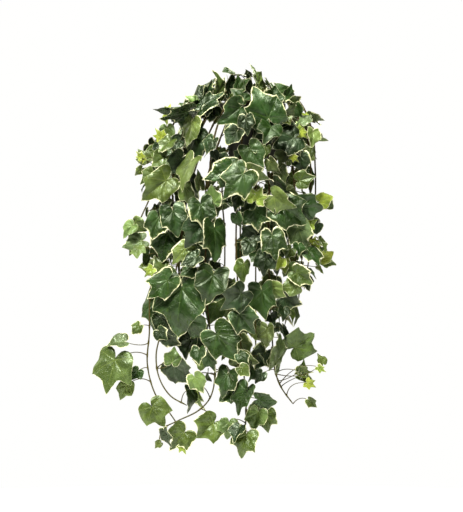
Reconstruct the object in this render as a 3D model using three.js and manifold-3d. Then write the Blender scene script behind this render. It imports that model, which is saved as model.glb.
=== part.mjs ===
// Potted variegated ivy: a dark hanging pot of soil, with leafy stems that arch over its rim and trail.
// Millimetres, +Z up, -Y towards the viewer. The origin is on the pot's axis, level with its rim's underside.
import * as THREE from 'three';
import { mergeVertices } from 'three/addons/utils/BufferGeometryUtils.js';
import Module from 'manifold-3d';

const wasm = await Module();
wasm.setup();

// Pot and soil
const POT_SIDES = 20;
const RIM_RADIUS = 60;
const RIM_HEIGHT = 10;
const RIM_LIP = 5;
const POT_TOP_RADIUS = 54;
const POT_BASE_RADIUS = 42;
const POT_DEPTH = 90;
const WALL = 2.4;
const DRAIN_HOLES = 4;
const DRAIN_RADIUS = 4;
const DRAIN_RING = 26;
const SOIL_TOP = -3;
const SOIL_CROWN = 3;
const SOIL_GAP = 0.3;
const HOLE_SIDES = 5;
const HOLE_RADIUS = 3.8;
const HOLE_FLOOR = 1;
const CUT_MARGIN = 5;

// Stems: a foot that stands in the soil, a crest over the rim, then the trailing part
const STEM_RADIUS = 2.6;
const STEM_SIDES = 4;
const STEM_STEP = 50;
const STEM_START = 2;
const FOOT_RADIUS = 2.9;
const FOOT_BOTTOM = -27;
const FOOT_TOP = 6;
const CREST_RADIUS = 58;
const CREST_HEIGHT = 30;
const STEM_SAMPLES = 60;
const BARE_SAMPLES = 6;

// Stems at the back: their share of the half circle behind the pot, the ring that they grow from, the rings
// and heights where they rise and fall over the rim, the girth that they then hang on, and their lengths
const BACK_ARC = [0.05, 0.95];
const BACK_HOLE_RING = 36;
const BACK_RISE = { ring: 84, height: 8 };
const BACK_FALL = { ring: 98, height: -60 };
const GIRTH = { centre: -40, x: 112, y: 84, height: -140 };
const GIRTH_SWAY = [0.9, 1.02];
const SWAY_FROM = 220;
const SWAY_STEP = 80;
const BACK_DROPS = [330, 300, 420, 520, 480, 540, 460, 400, 430, 370];

// Leaf stalks: their thickness, and the share of the way, the set-back and the drop of their bend
const STALK_RADIUS = 0.95;
const STALK_SHORT = 26;
const STALK_LONGER = 1.05;
const STALK_BEND = { share: 0.4, back: 0.26, under: 0.2, from: 12, to: 60 };
const STALK_TRIM = 5;

// Blades: thickness, least room to another piece, and the length from which a blade has five lobes
const BLADE_THICKNESS = 0.8;
const CLEARANCE = 1.3;
const OWN_CLEARANCE = 0.2;
const SURFACE_REACH = 0.5;
const FIVE_LOBES_FROM = 35;
const BLADE_MIDDLE = 0.4;

// Leaves seen from the front: sizes and depths that are tried in turn, and how far their blades bend
const FRONT_SIZES = [1, 0.9, 0.8];
const DEPTH_STEPS = 24;
const DEPTH_STEP = 4;
const FRONT_BEND = { fold: [-0.1, 0.35], droop: [0, 0.16], twist: [-0.15, 0.15] };

// Leaves placed by rule on the other sides: places along the stems, and the ranges that a leaf is drawn from
const LEAF_LIMIT = 241;
const SITE_FIRST = 14;
const SITE_STEP = 12;
const SIDE_DEPTH = 62;
const SIDE_CLOSER = 0.8;
const SPACINGS = [52, 44, 37, 31];
const TRIES = 16;
const SMALLER = 0.8;
const TIP_TAPER = 0.25;
const RULE_BEND = { fold: [-0.1, 0.35], droop: [0, 0.2], twist: [-0.15, 0.15] };
const RULE_SIZE = { length: [30, 50], reach: [18, 50] };
const RULE_TURN = { spread: [0, 75], sideways: [-0.8, 0.8], roll: [-25, 25] };
const ON_TOP = { rise: [10, 80], out: [0.2, 1], up: [-0.2, 0.9], facing: [0.4, 1.5] };
const HANGING = { rise: [-35, 50], out: [0.05, 0.7], up: [-1, -0.4], facing: [0.1, 0.7] };
const MIDDLE_X = -40;
const MIDDLE_FULL_DEPTH = 120;
const SEED = 20;

// Half outlines of a blade whose tip is at a distance of 1 from its stalk: angle from the tip and distance
const FIVE_LOBES = [
  { angle: 24, reach: 0.66 },
  { angle: 47, reach: 0.81 },
  { angle: 82, reach: 0.58 },
  { angle: 119, reach: 0.53 },
];
const THREE_LOBES = [
  { angle: 26, reach: 0.66 },
  { angle: 54, reach: 0.75 },
  { angle: 112, reach: 0.50 },
];

// The view from the front: the millimetres to one of its pixels, and the pixels of the pot's axis and rim
const PIXEL = 1.8;
const AXIS_X = 253;
const RIM_Y = 107;

// Stems at the front and sides: the hole in the soil, in millimetres from the pot's axis, then the route,
// each point as x and y in the front view and the depth behind the axis in millimetres
const FRONT_STEMS = [
  { name: 'shoulder_left', hole: [-36, 4], route: [[203, 92, -4], [182, 107, -12], [168, 135, -18],
    [160, 165, -22], [150, 195, -22], [137, 225, -18], [131, 250, -15]] },
  { name: 'long_left', hole: [-34, -11], route: [[205, 96, -44], [186, 124, -56], [176, 160, -52],
    [168, 205, -60], [158, 250, -55], [150, 290, -50], [149, 333, -48], [147, 365, -46], [155, 395, -44],
    [168, 412, -42], [181, 431, -40]] },
  { name: 'inner_left', hole: [-27, -22], route: [[214, 103, -57], [198, 135, -71], [190, 175, -76],
    [184, 220, -76], [177, 265, -71], [168, 300, -66], [161, 332, -60], [156, 355, -59], [159, 378, -57],
    [170, 396, -55], [187, 406, -54]] },
  { name: 'front_left', hole: [-17, -31], route: [[227, 103, -72], [215, 135, -89], [209, 180, -92],
    [207, 230, -89], [205, 280, -84], [210, 330, -77], [215, 375, -71], [210, 398, -67], [198, 411, -64],
    [178, 421, -59], [162, 430, -55], [159, 441, -54]] },
  { name: 'front_middle', hole: [-5, -36], route: [[248, 104, -77], [242, 140, -96],
    [238, 190, -101], [236, 240, -97], [238, 290, -92], [240, 335, -86], [244, 375, -81], [246, 410, -77],
    [245, 432, -76]] },
  { name: 'front_right', hole: [8, -34], route: [[264, 104, -74], [268, 145, -89],
    [269, 195, -92], [268, 245, -89], [270, 295, -82], [272, 335, -77], [275, 370, -72], [281, 387, -69],
    [293, 404, -66]] },
  { name: 'inner_right', hole: [20, -28], route: [[281, 104, -60], [290, 145, -72],
    [295, 195, -76], [296, 245, -72], [292, 290, -67], [285, 325, -62]] },
  { name: 'outer_right', hole: [30, -17], route: [[296, 104, -42], [308, 140, -48],
    [311, 185, -48], [306, 230, -46], [302, 262, -44], [299, 300, -40]] },
  { name: 'shoulder_right', hole: [34, -2], route: [[301, 101, -8], [313, 130, -13],
    [316, 165, -15], [316, 205, -10], [312, 245, -4], [305, 290, 2]] },
  { name: 'crown_left', hole: [-12, -12], route: [[240, 92, -14], [226, 82, -18], [213, 84, -22]] },
  { name: 'crown_middle', hole: [0, 2], route: [[252, 90, 2], [248, 79, 2]] },
  { name: 'crown_right', hole: [12, -10], route: [[261, 92, -12], [269, 86, -16], [282, 92, -18]] },
];

// Leaves that face the viewer, nearest first: the stalk's end and the tip in the front view, the turn about
// the midrib and the lean of the tip towards the viewer in degrees
const FRONT_LEAVES = [
  // Crown
  { stalk: [268, 119], tip: [254, 88], turn: 8, lean: 5 },
  { stalk: [203, 108], tip: [225, 91], turn: -55, lean: 0 },
  { stalk: [188, 112], tip: [160, 122], turn: -70, lean: 0 },
  { stalk: [189, 106], tip: [154, 114], turn: -62, lean: 0 },
  { stalk: [276, 90], tip: [300, 102], turn: -55, lean: 5 },
  { stalk: [266, 114], tip: [248, 121], turn: 25, lean: 0 },
  { stalk: [240, 109], tip: [219, 125], turn: -12, lean: 15 },
  { stalk: [213, 107], tip: [196, 118], turn: 10, lean: 20 },
  { stalk: [204, 98], tip: [211, 76], turn: -40, lean: 0 },
  { stalk: [218, 92], tip: [219, 66], turn: 66, lean: 0 },
  { stalk: [226, 93], tip: [221, 75], turn: -60, lean: 0 },
  { stalk: [233, 94], tip: [236, 75], turn: 10, lean: 5 },
  { stalk: [249, 97], tip: [251, 75], turn: -35, lean: 0 },
  { stalk: [258, 84], tip: [254, 61], turn: 68, lean: 0 },
  { stalk: [266, 93], tip: [262, 76], turn: 50, lean: -5 },
  { stalk: [198, 100], tip: [191, 119], turn: -68, lean: 5 },
  { stalk: [188, 107], tip: [195, 91], turn: 10, lean: 0 },
  { stalk: [284, 113], tip: [300, 104], turn: 60, lean: 5 },
  { stalk: [308, 119], tip: [293, 123], turn: 55, lean: 0 },
  { stalk: [311, 115], tip: [326, 122], turn: 62, lean: 0 },
  { stalk: [313, 132], tip: [327, 144], turn: 55, lean: 0 },
  { stalk: [294, 139], tip: [271, 147], turn: 20, lean: 15 },
  { stalk: [266, 123], tip: [270, 148], turn: 25, lean: 5 },
  { stalk: [237, 125], tip: [222, 132], turn: 40, lean: 10 },
  { stalk: [237, 133], tip: [226, 147], turn: 25, lean: 5 },
  // Upper left
  { stalk: [192, 124], tip: [186, 149], turn: 52, lean: 0 },
  { stalk: [166, 142], tip: [150, 149], turn: 30, lean: 5 },
  { stalk: [196, 137], tip: [198, 163], turn: 40, lean: 5 },
  { stalk: [213, 141], tip: [204, 155], turn: 35, lean: 0 },
  { stalk: [145, 159], tip: [137, 148], turn: 0, lean: 0 },
  { stalk: [165, 156], tip: [151, 166], turn: 0, lean: 10 },
  { stalk: [182, 158], tip: [169, 176], turn: -20, lean: 5 },
  { stalk: [166, 181], tip: [140, 202], turn: 0, lean: 5 },
  { stalk: [168, 172], tip: [146, 186], turn: 15, lean: 5 },
  { stalk: [192, 163], tip: [177, 191], turn: 62, lean: 0 },
  { stalk: [188, 180], tip: [197, 202], turn: 30, lean: 0 },
  { stalk: [180, 192], tip: [187, 211], turn: -35, lean: 5 },
  { stalk: [186, 188], tip: [191, 210], turn: -40, lean: 0 },
  // Upper middle and right
  { stalk: [232, 171], tip: [204, 180], turn: 0, lean: 10 },
  { stalk: [224, 166], tip: [212, 149], turn: 15, lean: 0 },
  { stalk: [250, 150], tip: [263, 172], turn: 0, lean: 10 },
  { stalk: [248, 155], tip: [230, 164], turn: -5, lean: 15 },
  { stalk: [243, 175], tip: [223, 199], turn: 10, lean: 10 },
  { stalk: [250, 172], tip: [268, 182], turn: 30, lean: 10 },
  { stalk: [214, 203], tip: [211, 184], turn: 0, lean: 5 },
  { stalk: [200, 187], tip: [198, 170], turn: 60, lean: 0 },
  { stalk: [286, 150], tip: [278, 168], turn: 30, lean: 5 },
  { stalk: [270, 162], tip: [279, 176], turn: 35, lean: 5 },
  { stalk: [281, 169], tip: [283, 188], turn: 45, lean: 0 },
  { stalk: [275, 183], tip: [288, 198], turn: 55, lean: 0 },
  { stalk: [300, 157], tip: [302, 175], turn: 15, lean: 0 },
  { stalk: [299, 181], tip: [315, 177], turn: 0, lean: 10 },
  { stalk: [321, 201], tip: [335, 196], turn: 0, lean: 0 },
  // Middle
  { stalk: [250, 200], tip: [240, 214], turn: 15, lean: 5 },
  { stalk: [255, 211], tip: [258, 233], turn: 0, lean: 10 },
  { stalk: [243, 214], tip: [243, 231], turn: 60, lean: 0 },
  { stalk: [274, 197], tip: [293, 211], turn: 35, lean: 5 },
  { stalk: [282, 208], tip: [308, 225], turn: -10, lean: 5 },
  { stalk: [301, 207], tip: [325, 209], turn: 15, lean: 5 },
  { stalk: [298, 228], tip: [306, 250], turn: 5, lean: 5 },
  { stalk: [324, 258], tip: [336, 252], turn: 10, lean: 0 },
  { stalk: [325, 260], tip: [338, 265], turn: 0, lean: 5 },
  { stalk: [296, 273], tip: [314, 285], turn: 0, lean: 5 },
  { stalk: [272, 236], tip: [276, 262], turn: 0, lean: 10 },
  { stalk: [263, 247], tip: [238, 250], turn: 20, lean: 10 },
  { stalk: [256, 234], tip: [236, 241], turn: 15, lean: 5 },
  { stalk: [266, 257], tip: [262, 276], turn: 15, lean: 5 },
  { stalk: [296, 286], tip: [278, 288], turn: 0, lean: 10 },
  { stalk: [271, 288], tip: [286, 298], turn: 25, lean: 5 },
  { stalk: [273, 283], tip: [256, 286], turn: 25, lean: 5 },
  { stalk: [173, 211], tip: [178, 237], turn: 0, lean: 10 },
  { stalk: [158, 219], tip: [152, 241], turn: 0, lean: 10 },
  { stalk: [160, 216], tip: [147, 226], turn: 15, lean: 0 },
  { stalk: [167, 233], tip: [162, 262], turn: 0, lean: 10 },
  { stalk: [201, 205], tip: [207, 232], turn: 0, lean: 10 },
  { stalk: [200, 225], tip: [186, 247], turn: 0, lean: 5 },
  { stalk: [210, 230], tip: [198, 271], turn: 35, lean: 0 },
  { stalk: [214, 229], tip: [217, 263], turn: -48, lean: 0 },
  { stalk: [186, 248], tip: [172, 264], turn: 10, lean: 5 },
  { stalk: [197, 257], tip: [180, 266], turn: 30, lean: 5 },
  { stalk: [163, 270], tip: [155, 255], turn: 20, lean: 0 },
  { stalk: [168, 280], tip: [146, 300], turn: 0, lean: 5 },
  { stalk: [153, 266], tip: [137, 267], turn: 25, lean: 0 },
  { stalk: [132, 226], tip: [121, 238], turn: 35, lean: 0 },
  { stalk: [141, 241], tip: [121, 247], turn: 15, lean: 5 },
  // Lower middle
  { stalk: [182, 288], tip: [174, 337], turn: 20, lean: 5 },
  { stalk: [213, 275], tip: [206, 305], turn: 0, lean: 10 },
  { stalk: [262, 291], tip: [264, 321], turn: 38, lean: 5 },
  { stalk: [217, 334], tip: [238, 361], turn: 0, lean: 10 },
  { stalk: [191, 321], tip: [213, 347], turn: 45, lean: 5 },
  { stalk: [240, 314], tip: [255, 334], turn: 0, lean: 5 },
  { stalk: [241, 293], tip: [222, 310], turn: -10, lean: 5 },
  { stalk: [238, 299], tip: [252, 316], turn: 35, lean: 0 },
  { stalk: [244, 264], tip: [240, 283], turn: 45, lean: 0 },
  { stalk: [156, 301], tip: [147, 335], turn: 48, lean: 0 },
  { stalk: [161, 318], tip: [173, 337], turn: 10, lean: 0 },
  { stalk: [189, 315], tip: [175, 330], turn: 25, lean: 0 },
  { stalk: [192, 284], tip: [199, 316], turn: 62, lean: 0 },
  { stalk: [217, 303], tip: [206, 324], turn: 35, lean: 0 },
  { stalk: [284, 298], tip: [302, 306], turn: 15, lean: 0 },
  { stalk: [287, 310], tip: [294, 328], turn: 79, lean: 0 },
  { stalk: [294, 307], tip: [299, 327], turn: -75, lean: 0 },
  { stalk: [267, 328], tip: [265, 348], turn: 48, lean: 0 },
  { stalk: [275, 362], tip: [284, 333], turn: 62, lean: 0 },
  { stalk: [272, 351], tip: [266, 373], turn: -66, lean: 0 },
  { stalk: [265, 353], tip: [255, 371], turn: 20, lean: 0 },
  { stalk: [240, 342], tip: [250, 359], turn: 5, lean: 5 },
  { stalk: [237, 357], tip: [259, 364], turn: 25, lean: 0 },
  { stalk: [208, 354], tip: [217, 378], turn: 40, lean: 5 },
  { stalk: [205, 355], tip: [200, 373], turn: 35, lean: 0 },
  { stalk: [228, 374], tip: [220, 397], turn: 32, lean: 5 },
  { stalk: [232, 391], tip: [218, 403], turn: 15, lean: 0 },
  { stalk: [196, 342], tip: [199, 362], turn: 15, lean: 5 },
  { stalk: [190, 340], tip: [182, 361], turn: 30, lean: 0 },
  { stalk: [165, 334], tip: [181, 348], turn: 25, lean: 0 },
  { stalk: [295, 347], tip: [317, 332], turn: 20, lean: 5 },
  // Trailing ends
  { stalk: [124, 342], tip: [106, 343], turn: 48, lean: 5 },
  { stalk: [115, 360], tip: [105, 393], turn: 24, lean: 8 },
  { stalk: [127, 385], tip: [119, 402], turn: 0, lean: 5 },
  { stalk: [152, 407], tip: [165, 428], turn: 0, lean: 8 },
  { stalk: [184, 433], tip: [170, 450], turn: 0, lean: 8 },
  { stalk: [172, 362], tip: [175, 346], turn: 10, lean: 0 },
  { stalk: [173, 365], tip: [193, 386], turn: 42, lean: 5 },
  { stalk: [195, 377], tip: [203, 394], turn: 15, lean: 0 },
  { stalk: [190, 391], tip: [194, 414], turn: -65, lean: 0 },
  { stalk: [197, 390], tip: [201, 413], turn: 60, lean: 0 },
  { stalk: [213, 423], tip: [195, 439], turn: 0, lean: 8 },
  { stalk: [165, 431], tip: [170, 448], turn: 50, lean: 0 },
  { stalk: [229, 422], tip: [227, 440], turn: 0, lean: 5 },
  { stalk: [246, 389], tip: [233, 413], turn: 48, lean: 5 },
  { stalk: [259, 399], tip: [278, 403], turn: 35, lean: 5 },
  { stalk: [258, 412], tip: [252, 431], turn: 15, lean: 5 },
  { stalk: [266, 414], tip: [267, 434], turn: 25, lean: 0 },
  { stalk: [246, 434], tip: [238, 457], turn: 25, lean: 8 },
  { stalk: [299, 371], tip: [314, 372], turn: 50, lean: 0 },
  { stalk: [300, 376], tip: [315, 380], turn: -45, lean: 0 },
];

// The plant's outline in the front view, and the openings through it as left, top, right and bottom
const OUTLINE = [[219, 66], [254, 61], [270, 80], [300, 102], [326, 122], [327, 144], [316, 165], [338, 205],
  [324, 222], [339, 265], [314, 288], [302, 306], [300, 328], [317, 333], [310, 352], [284, 362], [280, 382],
  [276, 404], [272, 436], [248, 457], [222, 440], [190, 452], [166, 448], [168, 424], [196, 414], [186, 396],
  [160, 372], [166, 346], [144, 334], [146, 300], [137, 268], [120, 247], [122, 230], [146, 212], [140, 200],
  [134, 172], [136, 148], [156, 128], [154, 112], [182, 100], [200, 84]];
const OPENINGS = [[196, 122, 222, 137], [194, 158, 208, 170], [219, 171, 227, 184], [223, 208, 238, 228],
  [224, 232, 232, 272], [238, 262, 252, 288], [190, 163, 200, 196], [252, 262, 257, 288],
  [209, 322, 219, 332]];

const UP = new THREE.Vector3(0, 0, 1);
const TO_VIEWER = new THREE.Vector3(0, -1, 0);
const TOUCH = 1e-9;

const leafMaterial = new THREE.MeshStandardMaterial({ color: 0x2f4f2b, roughness: 0.42, metalness: 0 });
const potMaterial = new THREE.MeshStandardMaterial({ color: 0x1b1c1b, roughness: 0.5, metalness: 0 });
const soilMaterial = new THREE.MeshStandardMaterial({ color: 0x33261b, roughness: 0.95, metalness: 0 });

// A place in the front view, with its depth behind the pot's axis in millimetres
function place(x, y, depth) {
  return new THREE.Vector3((x - AXIS_X) * PIXEL, depth, (RIM_Y - y) * PIXEL);
}

// Seeded random numbers from 0 to 1
let randomState = SEED;
function random() {
  randomState = (randomState + 0x6d2b79f5) | 0;
  let t = Math.imul(randomState ^ (randomState >>> 15), 1 | randomState);
  t = (t + Math.imul(t ^ (t >>> 7), 61 | t)) ^ t;
  return ((t ^ (t >>> 14)) >>> 0) / 4294967296;
}

function draw([low, high]) {
  return low + (high - low) * random();
}

function drawBend({ fold, droop, twist }) {
  return { fold: draw(fold), droop: draw(droop), twist: draw(twist) };
}

// A closed solid from corner points and triangles
function toSolid(positions, triangles) {
  const mesh = new wasm.Mesh({
    numProp: 3,
    vertProperties: Float32Array.from(positions.flatMap((p) => [p.x, p.y, p.z])),
    triVerts: Uint32Array.from(triangles.flat()),
  });
  return new wasm.Manifold(mesh);
}

function geometryToSolid(geometry) {
  const bare = geometry.clone();
  bare.deleteAttribute('normal');
  bare.deleteAttribute('uv');
  const merged = mergeVertices(bare, 1e-4);
  const mesh = new wasm.Mesh({
    numProp: 3,
    vertProperties: Float32Array.from(merged.attributes.position.array),
    triVerts: Uint32Array.from(merged.index.array),
  });
  return new wasm.Manifold(mesh);
}

// The largest body of a joined solid: loose scraps are dropped and sealed hollows are filled
function oneBody(solid) {
  return solid.decompose().reduce((best, piece) => (piece.volume() > best.volume() ? piece : best));
}

function solidToMesh(solid, name, material) {
  const { vertProperties, triVerts, numProp } = solid.getMesh();
  const positions = [];
  for (let i = 0; i < vertProperties.length; i += numProp) {
    positions.push(vertProperties[i], vertProperties[i + 1], vertProperties[i + 2]);
  }
  const geometry = new THREE.BufferGeometry();
  geometry.setAttribute('position', new THREE.Float32BufferAttribute(positions, 3));
  geometry.setIndex(Array.from(triVerts));
  geometry.computeVertexNormals();
  const mesh = new THREE.Mesh(geometry, material);
  mesh.name = name;
  return mesh;
}

// A solid of revolution about +Z
function lathe(profile, sides) {
  const points = profile.map(([radius, height]) => new THREE.Vector2(radius, height));
  const geometry = new THREE.LatheGeometry(points, sides);
  geometry.rotateX(Math.PI / 2);
  return geometryToSolid(geometry);
}

// An upright post
function post(radius, bottom, top, sides, x, y) {
  const geometry = new THREE.CylinderGeometry(radius, radius, top - bottom, sides);
  geometry.rotateX(Math.PI / 2);
  geometry.translate(x, y, (top + bottom) / 2);
  return geometryToSolid(geometry);
}

// The least distance between two segments
const edgeA = new THREE.Vector3();
const edgeB = new THREE.Vector3();
const offset = new THREE.Vector3();
function edgeDistance(a0, a1, b0, b1) {
  edgeA.subVectors(a1, a0);
  edgeB.subVectors(b1, b0);
  offset.subVectors(a0, b0);
  const a = edgeA.dot(edgeA);
  const e = edgeB.dot(edgeB);
  const f = edgeB.dot(offset);
  const c = edgeA.dot(offset);
  const b = edgeA.dot(edgeB);
  let s = 0;
  let t = 0;
  if (a < TOUCH && e < TOUCH) return offset.length();
  if (a < TOUCH) {
    t = THREE.MathUtils.clamp(f / e, 0, 1);
  } else if (e < TOUCH) {
    s = THREE.MathUtils.clamp(-c / a, 0, 1);
  } else {
    const denominator = a * e - b * b;
    if (denominator > TOUCH) s = THREE.MathUtils.clamp((b * f - c * e) / denominator, 0, 1);
    t = (b * s + f) / e;
    if (t < 0) {
      t = 0;
      s = THREE.MathUtils.clamp(-c / a, 0, 1);
    } else if (t > 1) {
      t = 1;
      s = THREE.MathUtils.clamp((b - c) / a, 0, 1);
    }
  }
  return offset.addScaledVector(edgeA, s).addScaledVector(edgeB, -t).length();
}

// True where the segment from p to q crosses the triangle, or where p lies over it within the limit
const probe = new THREE.Vector3();
function piercesOrNears(triangle, p, q, limit) {
  const { points, normal } = triangle;
  const heightP = probe.subVectors(p, points[0]).dot(normal);
  const heightQ = probe.subVectors(q, points[0]).dot(normal);
  if (Math.abs(heightP) < limit && insideOf(triangle, p)) return true;
  if (heightP * heightQ >= 0) return false;
  const crossing = new THREE.Vector3().lerpVectors(p, q, heightP / (heightP - heightQ));
  return insideOf(triangle, crossing);
}

const side = new THREE.Vector3();
function insideOf({ points, normal }, p) {
  for (let i = 0; i < 3; i++) {
    const a = points[i];
    const b = points[(i + 1) % 3];
    side.subVectors(b, a).cross(probe.subVectors(p, a));
    if (side.dot(normal) < 0) return false;
  }
  return true;
}

// Facets stand for blades, stalks and stems in the search for free room. A rod is a facet whose last two
// points are one.
function facet(a, b, c, radius) {
  const normal = new THREE.Vector3().subVectors(b, a).cross(new THREE.Vector3().subVectors(c, a));
  const flat = normal.lengthSq() > TOUCH;
  if (flat) normal.normalize();
  const centre = new THREE.Vector3().add(a).add(b).add(c).divideScalar(3);
  const reach = Math.max(centre.distanceTo(a), centre.distanceTo(b), centre.distanceTo(c));
  return { points: [a, b, c], normal, flat, centre, reach, radius };
}

function facetsMeet(one, other, margin) {
  const limit = one.radius + other.radius + margin;
  if (one.centre.distanceTo(other.centre) > one.reach + other.reach + limit) return false;
  for (let i = 0; i < 3; i++) {
    const a0 = one.points[i];
    const a1 = one.points[(i + 1) % 3];
    if (other.flat && piercesOrNears(other, a0, a1, limit)) return true;
    for (let j = 0; j < 3; j++) {
      const b0 = other.points[j];
      const b1 = other.points[(j + 1) % 3];
      if (edgeDistance(a0, a1, b0, b1) < limit) return true;
    }
  }
  for (let j = 0; j < 3; j++) {
    if (one.flat && piercesOrNears(one, other.points[j], other.points[(j + 1) % 3], limit)) return true;
  }
  return false;
}

function bounds(facets) {
  const box = new THREE.Box3();
  let radius = 0;
  for (const one of facets) {
    box.union(new THREE.Box3().setFromPoints(one.points));
    radius = Math.max(radius, one.radius);
  }
  return box.expandByScalar(radius + CLEARANCE);
}

const taken = [];
function take(facets, stem, isStem) {
  taken.push({ facets, box: bounds(facets), stem, isStem });
}

// A leaf is free where no facet comes near another piece; its last rod may touch the stem that it grows from
function isFree(facets, stem) {
  const box = bounds(facets);
  for (const group of taken) {
    if (!box.intersectsBox(group.box)) continue;
    for (const one of facets) {
      if (one.onlyFor === 'others' && group.stem === stem) continue;
      if (one.onlyFor === 'own' && (group.stem !== stem || group.isStem)) continue;
      for (const other of group.facets) {
        if (facetsMeet(one, other, CLEARANCE)) return false;
      }
    }
  }
  return true;
}

// The outline of a blade, from its left basal lobe round the tip to its right basal lobe
function bladePoints({ junction, along, across, facing, length, lobes, fold, droop, twist }) {
  const outline = [
    ...lobes.map(({ angle, reach }) => ({ angle: -angle, reach })).reverse(),
    { angle: 0, reach: 1 },
    ...lobes,
  ];
  return outline.map(({ angle, reach }) => {
    const turn = THREE.MathUtils.degToRad(angle);
    const x = Math.sin(turn) * reach;
    const y = Math.cos(turn) * reach;
    const height = fold * Math.abs(x) - droop * reach * reach + twist * x * y;
    return junction.clone()
      .addScaledVector(across, x * length)
      .addScaledVector(along, y * length)
      .addScaledVector(facing, height * length);
  });
}

function bladeFacets(junction, outline) {
  const facets = [];
  for (let i = 0; i + 1 < outline.length; i++) {
    facets.push(facet(junction, outline[i + 1], outline[i], BLADE_THICKNESS / 2));
  }
  return facets;
}

// A leaf's closed body: its blade, fanned from the stalk, and the three-sided stalk down to its root
function leafSolid({ junction, along, across, facing, outline, stalk }) {
  const top = outline.map((p) => p.clone().addScaledVector(facing, BLADE_THICKNESS / 2));
  const bottom = outline.map((p) => p.clone().addScaledVector(facing, -BLADE_THICKNESS / 2));
  const count = outline.length;
  const middle = (count - 1) / 2;
  const positions = [...top, ...bottom];
  const rings = stalkRings(junction, along, across, facing, stalk);
  for (const ring of rings) positions.push(...ring);
  const ringAt = (index) => 2 * count + 3 * index;
  const [left, right, under] = [ringAt(0), ringAt(0) + 1, ringAt(0) + 2];
  const triangles = [];
  for (let i = 0; i + 1 < count; i++) {
    const hub = i < middle ? left : right;
    triangles.push([hub, i + 1, i]);
    triangles.push([under, count + i, count + i + 1]);
    triangles.push([i, i + 1, count + i + 1]);
    triangles.push([i, count + i + 1, count + i]);
  }
  triangles.push([left, right, middle]);
  triangles.push([left, 0, count], [left, count, under]);
  triangles.push([right, 2 * count - 1, count - 1], [right, under, 2 * count - 1]);
  for (let k = 0; k + 1 < rings.length; k++) {
    for (const [a, b] of [[0, 2], [2, 1], [1, 0]]) {
      const from = ringAt(k);
      const to = ringAt(k + 1);
      triangles.push([from + a, from + b, to + b], [from + a, to + b, to + a]);
    }
  }
  const end = ringAt(rings.length - 1);
  triangles.push([end, end + 2, end + 1]);
  return toSolid(positions, triangles);
}

// The three-sided rings of a stalk, from its blade to its root; each turns with the stalk and doesn't twist
function stalkRings(junction, along, across, facing, stalk) {
  const rings = [];
  const sideways = across.clone();
  const upward = facing.clone();
  const route = [junction, ...stalk];
  const halfWidth = STALK_RADIUS * Math.cos(Math.PI / 6);
  const halfHeight = STALK_RADIUS * Math.sin(Math.PI / 6);
  for (let k = 0; k < route.length; k++) {
    if (k > 0) {
      const next = route[Math.min(k + 1, route.length - 1)];
      const forward = new THREE.Vector3().subVectors(route[k - 1], next).normalize();
      sideways.addScaledVector(forward, -sideways.dot(forward)).normalize();
      upward.crossVectors(sideways, forward).normalize();
    }
    const raised = route[k].clone().addScaledVector(upward, halfHeight);
    rings.push([
      raised.clone().addScaledVector(sideways, -halfWidth),
      raised.clone().addScaledVector(sideways, halfWidth),
      route[k].clone().addScaledVector(upward, -STALK_RADIUS),
    ]);
  }
  return rings;
}

// The stalk leaves the blade backwards and under it, then turns to its root on the stem
function stalkRoute({ junction, along, facing }, root) {
  const span = THREE.MathUtils.clamp(junction.distanceTo(root), STALK_BEND.from, STALK_BEND.to);
  const bend = junction.clone().lerp(root, STALK_BEND.share)
    .addScaledVector(along, -STALK_BEND.back * span)
    .addScaledVector(facing, -STALK_BEND.under * span);
  return [bend, root];
}

// The stalk's rods. The first stops short of its own blade, and the one to be tested against its own stem's
// leaves stops short of that stem.
function stalkFacets(junction, [bend, root]) {
  const start = junction.clone().lerp(bend, 0.35);
  const trimmed = Math.max(0, 1 - STALK_TRIM / Math.max(STALK_TRIM, bend.distanceTo(root)));
  const end = bend.clone().lerp(root, trimmed);
  return [
    facet(start, bend, bend, STALK_RADIUS),
    { ...facet(bend, end, end, STALK_RADIUS), onlyFor: 'own' },
    { ...facet(bend, root, root, STALK_RADIUS), onlyFor: 'others' },
  ];
}

const middles = [];
function bladeMiddle({ junction, along, length }) {
  return junction.clone().addScaledVector(along, BLADE_MIDDLE * length);
}

// Adds one leaf to its stem if its place is free
function tryLeaf(pose, root, stem) {
  const outline = bladePoints(pose);
  const stalk = stalkRoute(pose, root);
  const blade = bladeFacets(pose.junction, outline);
  const stalkParts = stalkFacets(pose.junction, stalk);
  for (const part of stalkParts) {
    for (const flat of blade) {
      if (facetsMeet(part, flat, OWN_CLEARANCE)) return false;
    }
  }
  const facets = [...blade, ...stalkParts];
  if (!isFree(facets, stem)) return false;
  take(facets, stem, false);
  middles.push(bladeMiddle(pose));
  stem.leaves.push(leafSolid({ ...pose, outline, stalk }));
  return true;
}

// A blade's own axes: along its midrib, out of its upper face and across
function frameOf(direction, towards, roll) {
  const along = direction.clone().normalize();
  const facing = towards.clone().addScaledVector(along, -towards.dot(along)).normalize();
  facing.applyAxisAngle(along, THREE.MathUtils.degToRad(roll));
  const across = new THREE.Vector3().crossVectors(along, facing).normalize();
  return { along, facing, across };
}

// The facets of a solid's whole surface
function surfaceFacets(solid) {
  const { vertProperties, triVerts, numProp } = solid.getMesh();
  const corner = (i) => new THREE.Vector3().fromArray(vertProperties, triVerts[i] * numProp);
  const facets = [];
  for (let i = 0; i < triVerts.length; i += 3) {
    facets.push(facet(corner(i), corner(i + 1), corner(i + 2), SURFACE_REACH));
  }
  return facets;
}

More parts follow.
